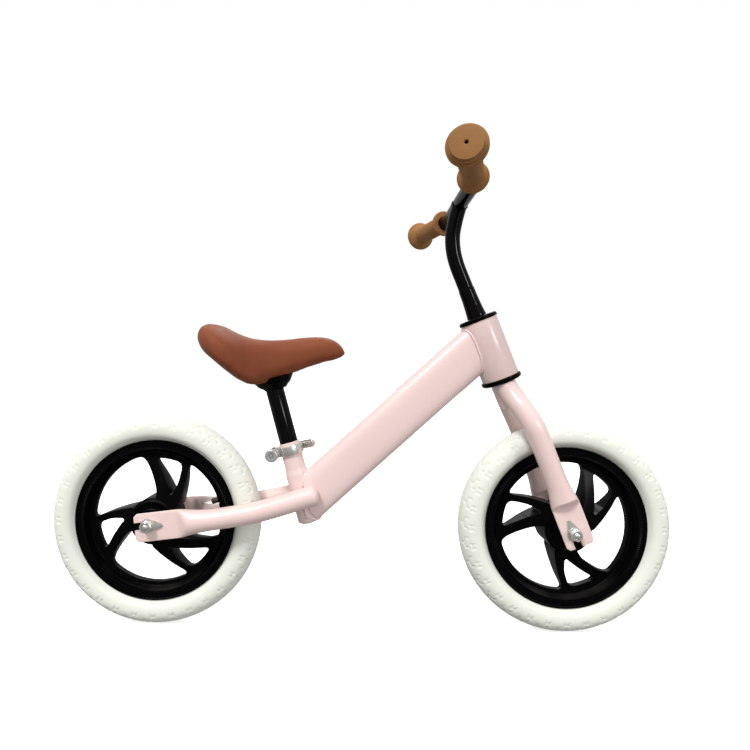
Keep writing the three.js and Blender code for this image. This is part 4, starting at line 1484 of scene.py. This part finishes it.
@dataclass
class SeatClamp(Assembly):
    """The quick-release collar, drawn in the seat tube's frame."""

    low: float = 98.0
    high: float = 110.4
    skewer_x: float = -25.0
    ear_half: float = 8.0
    cam_y: float = 18.0

    def build(self) -> None:
        """Makes the collar, skewer, nut, cam seat, pin and lever."""
        middle = (self.low + self.high) / 2
        band = sleeve(14.6, 17.4, self.low, self.high, 96)
        ears = moved(block(17, 2 * self.ear_half, self.high - self.low), shift(self.skewer_x + 2, 0, middle))
        whole = carved(band, [ears], "UNION")
        cutters = [
            rod(14.6, self.low - 5, self.high + 5, 96),
            moved(block(20, 2.4, 30), shift(self.skewer_x - 2, 0, middle)),
            moved(cylinder_across(3, 40, 32), shift(self.skewer_x - 1, 0, middle)),
        ]
        self.piece("seat_collar", carved(whole, cutters), "chrome", ["clamp_collar"], bevel=0.7, crease=40)
        skewer = moved(rod(2.6, -11.2, 19), Matrix.Rotation(math.pi / 2, 4, "X"), shift(self.skewer_x - 1, 0, middle))
        self.piece("seat_skewer", skewer, "chrome", ["clamp_skewer"])
        self.nut(middle)
        corners = [(3, -1.5), (7, -1.5), (7, 1.5), (3, 1.5)]
        place = shift(self.skewer_x - 1, self.ear_half + GAP + 1.5, middle)
        self.piece("cam_washer", moved(spun(rounded(corners, 0.5, 2), 48), place), "black_plastic",
                   ["clamp_cam_seat"])
        pin = moved(rod(2.4, -7.5, 7.5), shift(self.skewer_x - 1, self.cam_y, middle))
        self.piece("cam_pin", pin, "chrome", ["clamp_cam_pin"])
        self.lever(middle)

    def nut(self, middle: float) -> None:
        """The round nut with finger grooves.

        Args:
            middle: the height of the collar's middle.
        """
        corners = [(3, -5), (8, -5), (9.4, -3.8), (9.4, 3.8), (8, 5), (3, 5)]
        ring = spun(rounded(corners, 0.5, 2), 80)
        for vert in ring.verts:
            radius = math.hypot(vert.co.x, vert.co.z)
            column = round(math.atan2(vert.co.z, vert.co.x) / (2 * math.pi / 80))
            if radius > 8.6 and abs(vert.co.y) < 4.2 and column % 4 < 2:
                vert.co.x *= 0.93
                vert.co.z *= 0.93
        place = shift(self.skewer_x - 1, -(self.ear_half + GAP + 5), middle)
        self.piece("seat_nut", moved(ring, place), "chrome", ["clamp_nut"], crease=28)

    def lever(self, middle: float) -> None:
        """The curved lever on its cam.

        Args:
            middle: the height of the collar's middle.
        """
        x, y = self.skewer_x, self.cam_y
        path = Spline([(x - 1, y, 0), (x + 9, y + 4.5, 0), (-2, y + 7, 0), (12, y + 4, 0), (22, y - 1, 0),
                       (33, y - 8, 0)])

        def section(s: float) -> tuple[float, float, float]:
            """A flat arm that thins and rounds off toward its tip."""
            tip = math.sqrt(max(1 - max((s - 0.94) / 0.062, 0) ** 2, 0.02))
            return (2.6 + 1.2 * (1 - s), 6 * tip, 0.7)

        arm = swept(path, 60, 24, section, Vector((0, 0, 1)))
        cam = moved(rod(6.4, -6, 6), shift(x - 1, y, 0))
        whole = carved(arm, [cam], "UNION")
        bore = moved(rod(2.46, -20, 20, 32), shift(x - 1, y, 0))
        shape = moved(carved(whole, [bore]), shift(0, 0, middle))
        self.piece("seat_lever", shape, "chrome", ["clamp_lever"], bevel=0.3, crease=45, body="clamp_lever")


@dataclass
class Seatpost(Assembly):
    """The post, its plug and the bracket on top, drawn in the seat tube's frame."""

    radius: float = 12.7
    wall: float = 1.6
    foot: float = 48.0
    top: float = 192.0
    bracket_top: float = 207.5

    def build(self) -> None:
        """Makes the post, plug and bracket."""
        post = sleeve(self.radius - self.wall, self.radius, self.foot, self.top)
        self.piece("seatpost_tube", post, "black_steel", ["seatpost"])
        low, r = self.foot, self.radius
        corners = [(0, low - 2.3), (r - 0.4, low - 2.3), (r - 0.4, low - GAP), (r - 2, low - GAP),
                   (r - 2, low + 10), (0, low + 10)]
        plug = upright(spun(rounded(corners, 0.5, 2, closed=False), 64, False))
        self.piece("seatpost_foot", plug, "black_plastic", ["seatpost_plug"])
        self.bracket()

    def bracket(self) -> None:
        """The dished cup that carries the saddle."""
        bore = self.radius + GAP
        cup = Spline(
            [(15.2, 191.4, 0), (16.2, 193, 0), (18.6, 195.2, 0), (21.5, 197.2, 0), (24, 200.4, 0), (26.6, 204.2, 0),
             (28.3, 206.6, 0)]
        )
        corners = [(0, self.top + GAP), (bore, self.top + GAP), (bore, 191.6), (bore + 0.5, 191),
                   *[(p.x, p.y) for p in cup.samples(12)], (28.5, self.bracket_top), (0, self.bracket_top)]
        shape = upright(spun(rounded(corners, 0.5, 2, closed=False), 96, False))
        self.piece("saddle_cup", moved(shape, shift(2, 0, 0)), "black_plastic", ["saddle_bracket"], crease=40)


@dataclass
class Saddle(Assembly):
    """The padded saddle and the pan under it, drawn in the bike's own frame in millimetres."""

    voxel: float = 4.0
    pressure: float = 4.0
    swell: float = 3.0
    start_inset: float = 0.4
    hollow: float = 3.0
    pan_middle: float = -122.0

    def stations(self) -> list[tuple[float, float, float, float]]:
        """The saddle's outline along X: x, underside, top and half width.

        Returns:
            One row for each place, from the tail to the nose.
        """
        return [
            (-228, 394, 406, 16), (-222, 386, 413, 34), (-213, 377, 417.5, 54), (-200, 367, 415, 67),
            (-182, 353, 405.5, 70), (-163, 338.5, 398, 60), (-150, 331.5, 395, 50), (-130, 338, 393.5, 39),
            (-105, 349, 395, 31), (-80, 359, 398.5, 27), (-55, 367, 401.5, 25), (-38, 371, 397.5, 21),
            (-28, 374, 389, 15), (-23.5, 376, 382, 8),
        ]

    def outline(self, s: float) -> tuple[float, float, float, float]:
        """The smoothed outline at a share of the saddle's length.

        Args:
            s: 0 at the tail, 1 at the nose.

        Returns:
            x, underside, top and half width.
        """
        rows = self.stations()
        low = Spline([(row[0], 0, row[1]) for row in rows]).at(s)
        high = Spline([(row[0], row[3], row[2]) for row in rows]).at(s)
        return (low.x, low.z, high.z, high.y)

    def underside(self, x: float) -> float:
        """The height of the saddle's underside at a place along it.

        Args:
            x: the place, in millimetres along X.

        Returns:
            The height in millimetres.
        """
        rows = self.stations()
        for a, b in zip(rows, rows[1:]):
            if x <= b[0]:
                return a[1] + (b[1] - a[1]) * max(x - a[0], 0) / (b[0] - a[0])
        return rows[-1][1]

    def build(self) -> None:
        """Makes the padded cover and the pan."""
        self.pan()
        self.cover()

    def loft(self, inset: float, sides: int, steps: int, squareness: float) -> bmesh.types.BMesh:
        """The saddle's solid from its stations.

        Args:
            inset: how far it is drawn in from the outline.
            sides: points round a section.
            steps: sections along it.
            squareness: 1 for an ellipse, less for a squarer section.

        Returns:
            A closed shell.
        """
        line = Spline([(0, 0, 0), (0.5, 0, 0), (1, 0, 0)])
        bm = swept(line, steps, sides, lambda s: (1.0, 1.0, squareness))
        for vert in bm.verts:
            s = vert.co.x
            x, under, top, half = self.outline(s)
            middle, rise = (under + top) / 2, (top - under) / 2
            side = vert.co.y
            height = vert.co.z
            droop = 0.16 * rise * side**2 if height > 0 else 0.0
            hollow = self.hollow * (1 - smooth_step((abs(side) - 0.3) / 0.3)) if height < -0.2 else 0.0
            hollow *= smooth_step(min(s, 1 - s) / 0.15)
            height = height if height > 0 else -abs(height) ** 0.6
            vert.co.x = x + (inset if s < 0.01 else -inset if s > 0.99 else 0)
            vert.co.y = side * max(half - inset, 2)
            vert.co.z = middle + height * max(rise - inset, 1) - droop + hollow
        return bm

    def cover(self) -> None:
        """The padded cover: remeshed, swollen by cloth pressure and held near its form."""
        shape = self.loft(self.start_inset, 64, 90, 0.66)
        scale = Matrix.Diagonal((MM, MM, MM, 1))
        pad = as_object("saddle_pad", moved(shape, scale))
        remesh = pad.modifiers.new("even", "REMESH")
        remesh.mode = "VOXEL"
        remesh.voxel_size = self.voxel * MM
        even = evaluated(pad)
        pad.modifiers.clear()
        bmesh.ops.smooth_vert(even, verts=even.verts, factor=0.5, use_axis_x=True, use_axis_y=True, use_axis_z=True)
        start = [v.co.copy() for v in even.verts]
        even.to_mesh(pad.data)
        even.free()
        self.inflate(pad, start)
        finer = pad.modifiers.new("finer", "SUBSURF")
        finer.levels = 1
        finer.render_levels = 1
        pad.data.materials.append(self.finishes.by_slot["saddle_vinyl"])
        pad.data.shade_smooth()
        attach(pad, self.body)
        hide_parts("saddle_cover")
        log.info("saddle_pad: %d faces", len(pad.data.polygons))

    def inflate(self, pad: bpy.types.Object, start: list[Vector]) -> None:
        """Lets the cover's cloth fill out, and keeps each point near where it started.

        Args:
            pad: the cover.
            start: where its points began, in metres.
        """
        cloth = pad.modifiers.new("cloth", "CLOTH")
        cloth.settings.use_pressure = True
        cloth.settings.uniform_pressure_force = self.pressure
        cloth.settings.effector_weights.gravity = 0.0
        scene = bpy.context.scene
        for number in range(1, 21):
            scene.frame_set(number)
        filled = evaluated(pad)
        pad.modifiers.clear()
        for vert, home in zip(filled.verts, start):
            stray = vert.co - home
            limit = self.swell * MM
            if stray.length > limit:
                vert.co = home + stray * (limit / stray.length)
        for _ in range(2):
            bmesh.ops.smooth_vert(filled, verts=filled.verts, factor=0.5, use_axis_x=True, use_axis_y=True,
                                  use_axis_z=True)
        filled.to_mesh(pad.data)
        filled.free()
        scene.frame_set(1)

    def pan(self) -> None:
        """The moulded pan that shows under the middle of the cover."""
        bm = self.loft(0, 48, 60, 0.5)
        for vert in bm.verts:
            vert.co.x = self.pan_middle + (vert.co.x - self.pan_middle) * 0.8
            vert.co.y *= 0.45
            under = self.underside(vert.co.x)
            vert.co.z = under + (3.4 if vert.co.z < under + 12 else 9.0)
        self.piece("saddle_pan", bm, "black_plastic", ["saddle_base"], crease=50)


# ---- Studio ------------------------------------------------------------------------------------


@dataclass(frozen=True)
class Lamp:
    """A soft light: where it comes from, how broad it is in degrees and how strong."""

    name: str
    source: tuple[float, float, float]
    breadth: float
    strength: float


@dataclass(frozen=True)
class Studio:
    """A white sweep, soft lights and the camera."""

    lens: float = 25.69
    eye: tuple[float, float, float] = (-0.0152, -0.750, 0.356)
    yaw: float = 0.62
    roll: float = 0.94
    shift_x: float = 0.0395
    shift_y: float = -0.0064
    surround_low: float = 0.3
    surround_high: float = 0.84
    gradient_low: float = -0.5
    gradient_high: float = 0.9
    floor_radius: float = 9
    floor_tone: float = 0.93
    floor_glow: float = 0.55

    def build(self) -> None:
        """Makes the floor, lights, world and camera."""
        self.floor()
        self.world()
        for lamp in (
            Lamp("key", (-0.45, -0.75, 1.0), 14, 2.3),
            Lamp("fill", (0.6, -0.75, 0.31), 9, 0.7),
            Lamp("back", (0.2, 1.0, 0.9), 40, 0.7),
        ):
            self.light(lamp)
        self.camera()

    def floor(self) -> None:
        """A wide pale floor that runs out into the white surround."""
        bm = bmesh.new()
        bmesh.ops.create_circle(bm, cap_ends=True, radius=self.floor_radius, segments=96)
        sweep = as_object("studio_floor", bm)
        made = bpy.data.materials.new("studio_floor")
        made.use_nodes = True
        shader = made.node_tree.nodes["Principled BSDF"]
        shader.inputs["Base Color"].default_value = (self.floor_tone, self.floor_tone, self.floor_tone, 1)
        shader.inputs["Roughness"].default_value = 0.9
        shader.inputs["Specular IOR Level"].default_value = 0.1
        shader.inputs["Emission Color"].default_value = (1, 1, 1, 1)
        shader.inputs["Emission Strength"].default_value = self.floor_glow
        sweep.data.materials.append(made)
        sweep.visible_diffuse = False
        sweep.visible_glossy = False

    def world(self) -> None:
        """A white surround that lights the bike less than it shows, brighter above than below."""
        world = bpy.data.worlds.new("studio")
        world.use_nodes = True
        nodes, links = world.node_tree.nodes, world.node_tree.links
        background = nodes["Background"]
        place = nodes.new("ShaderNodeTexCoord")
        split = nodes.new("ShaderNodeSeparateXYZ")
        links.new(place.outputs["Generated"], split.inputs["Vector"])
        height = nodes.new("ShaderNodeMapRange")
        height.inputs["From Min"].default_value = self.gradient_low
        height.inputs["From Max"].default_value = self.gradient_high
        height.inputs["To Min"].default_value = self.surround_low
        height.inputs["To Max"].default_value = self.surround_high
        links.new(split.outputs["Z"], height.inputs["Value"])
        seen = nodes.new("ShaderNodeLightPath")
        strength = nodes.new("ShaderNodeMix")
        links.new(seen.outputs["Is Camera Ray"], strength.inputs["Factor"])
        links.new(height.outputs["Result"], strength.inputs["A"])
        strength.inputs["B"].default_value = 1.0
        background.inputs["Color"].default_value = (1, 1, 1, 1)
        links.new(strength.outputs["Result"], background.inputs["Strength"])
        bpy.context.scene.world = world
        bpy.context.scene.view_settings.view_transform = "Standard"

    def light(self, lamp: Lamp) -> None:
        """Hangs a broad soft light that reaches the whole floor evenly.

        Args:
            lamp: the direction it comes from, its breadth and strength.
        """
        data = bpy.data.lights.new(lamp.name, "SUN")
        data.angle = math.radians(lamp.breadth)
        data.energy = lamp.strength
        made = bpy.data.objects.new(lamp.name, data)
        made.rotation_euler = Vector(lamp.source).to_track_quat("Z", "Y").to_euler()
        bpy.context.scene.collection.objects.link(made)

    def camera(self) -> None:
        """The camera, level with the down tube on the bike's right."""
        data = bpy.data.cameras.new("studio_camera")
        data.sensor_width = 36
        data.lens = self.lens
        data.shift_x = self.shift_x
        data.shift_y = self.shift_y
        data.clip_start = 0.02
        made = bpy.data.objects.new("studio_camera", data)
        aim = Matrix.Rotation(math.radians(self.yaw), 4, "Z") @ Matrix.Rotation(math.pi / 2, 4, "X")
        made.matrix_world = Matrix.Translation(self.eye) @ aim @ Matrix.Rotation(math.radians(self.roll), 4, "Z")
        bpy.context.scene.collection.objects.link(made)
        bpy.context.scene.camera = made


# ---- The bike ----------------------------------------------------------------------------------


class Bike:
    """Every sub-assembly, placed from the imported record."""

    def __init__(self, frame: dict, finishes: Finishes) -> None:
        """Works out the frames of the sub-assemblies.

        Args:
            finishes: the materials.
        """
        self.finishes = finishes
        joints = {joint["name"]: joint for joint in frame["joints"]}
        steering = joints["steering"]
        self.steering = leaning(Vector(steering["pos_m"]), Vector(steering["axis"]))
        turn = joints["clamp_lever_turn"]
        seat = leaning(Vector((0, 0, 0)), Vector(turn["axis"]))
        offset = seat.to_3x3() @ (Vector((-26, 18, 104.2)) * MM)
        self.seat = leaning(Vector(turn["pos_m"]) - offset, Vector(turn["axis"]))
        self.wheels = {end: Vector(joints[f"{end}_wheel_spin"]["pos_m"]) for end in ("rear", "front")}

    def in_steering(self, point: Vector) -> Vector:
        """A point of the bike, in metres, in the steering frame in millimetres."""
        return (self.steering.inverted() @ point) / MM

    def build(self) -> None:
        """Builds the sub-assemblies in order."""
        whole = Matrix()
        for end, turn, valve in (("rear", 0.0, 17.5), ("front", -30.0, 107.5)):
            place = Matrix.Translation(self.wheels[end])
            Wheel(self.finishes, place, f"{end}_wheel", end=end, turn=turn, valve_angle=valve).build()
        FrameTubes(self.finishes, whole, "frame", head=self.steering, seat=self.seat,
                   axle=self.wheels["rear"] / MM).build()
        Headset(self.finishes, self.steering, "frame").build()
        axle = self.in_steering(self.wheels["front"])
        Fork(self.finishes, self.steering, "fork", axle=axle).build()
        bar_centre = self.in_steering(Vector((0.133, 0, 0.591)))
        bar_end = self.in_steering(Vector((0.0993, 0.199, 0.5928)))
        Handlebar(self.finishes, self.steering, "fork", bar_centre=bar_centre, bar_end=bar_end).build()
        rear = Matrix.Translation(self.wheels["rear"])
        AxleSet(self.finishes, rear, "frame", end="rear", hook_angle=3.0).build()
        front = self.steering.copy()
        front.translation = self.wheels["front"]
        AxleSet(self.finishes, front, "fork", end="front", hook_angle=90.0, nut_turn=40.0).build()
        SeatClamp(self.finishes, self.seat, "frame").build()
        Seatpost(self.finishes, self.seat, "saddle").build()
        Saddle(self.finishes, whole, "saddle").build()


def corners(box: tuple[Vector, Vector]) -> list[list[float]]:
    """A box as plain lists of numbers."""
    return [list(corner) for corner in box]


def main() -> None:
    """Builds the studio and the bike."""
    logging.basicConfig(level=logging.INFO, format="%(message)s")
    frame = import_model()
    Studio().build()
    Bike(frame, Finishes(Effects())).build()


if __name__ == "__main__":
    main()
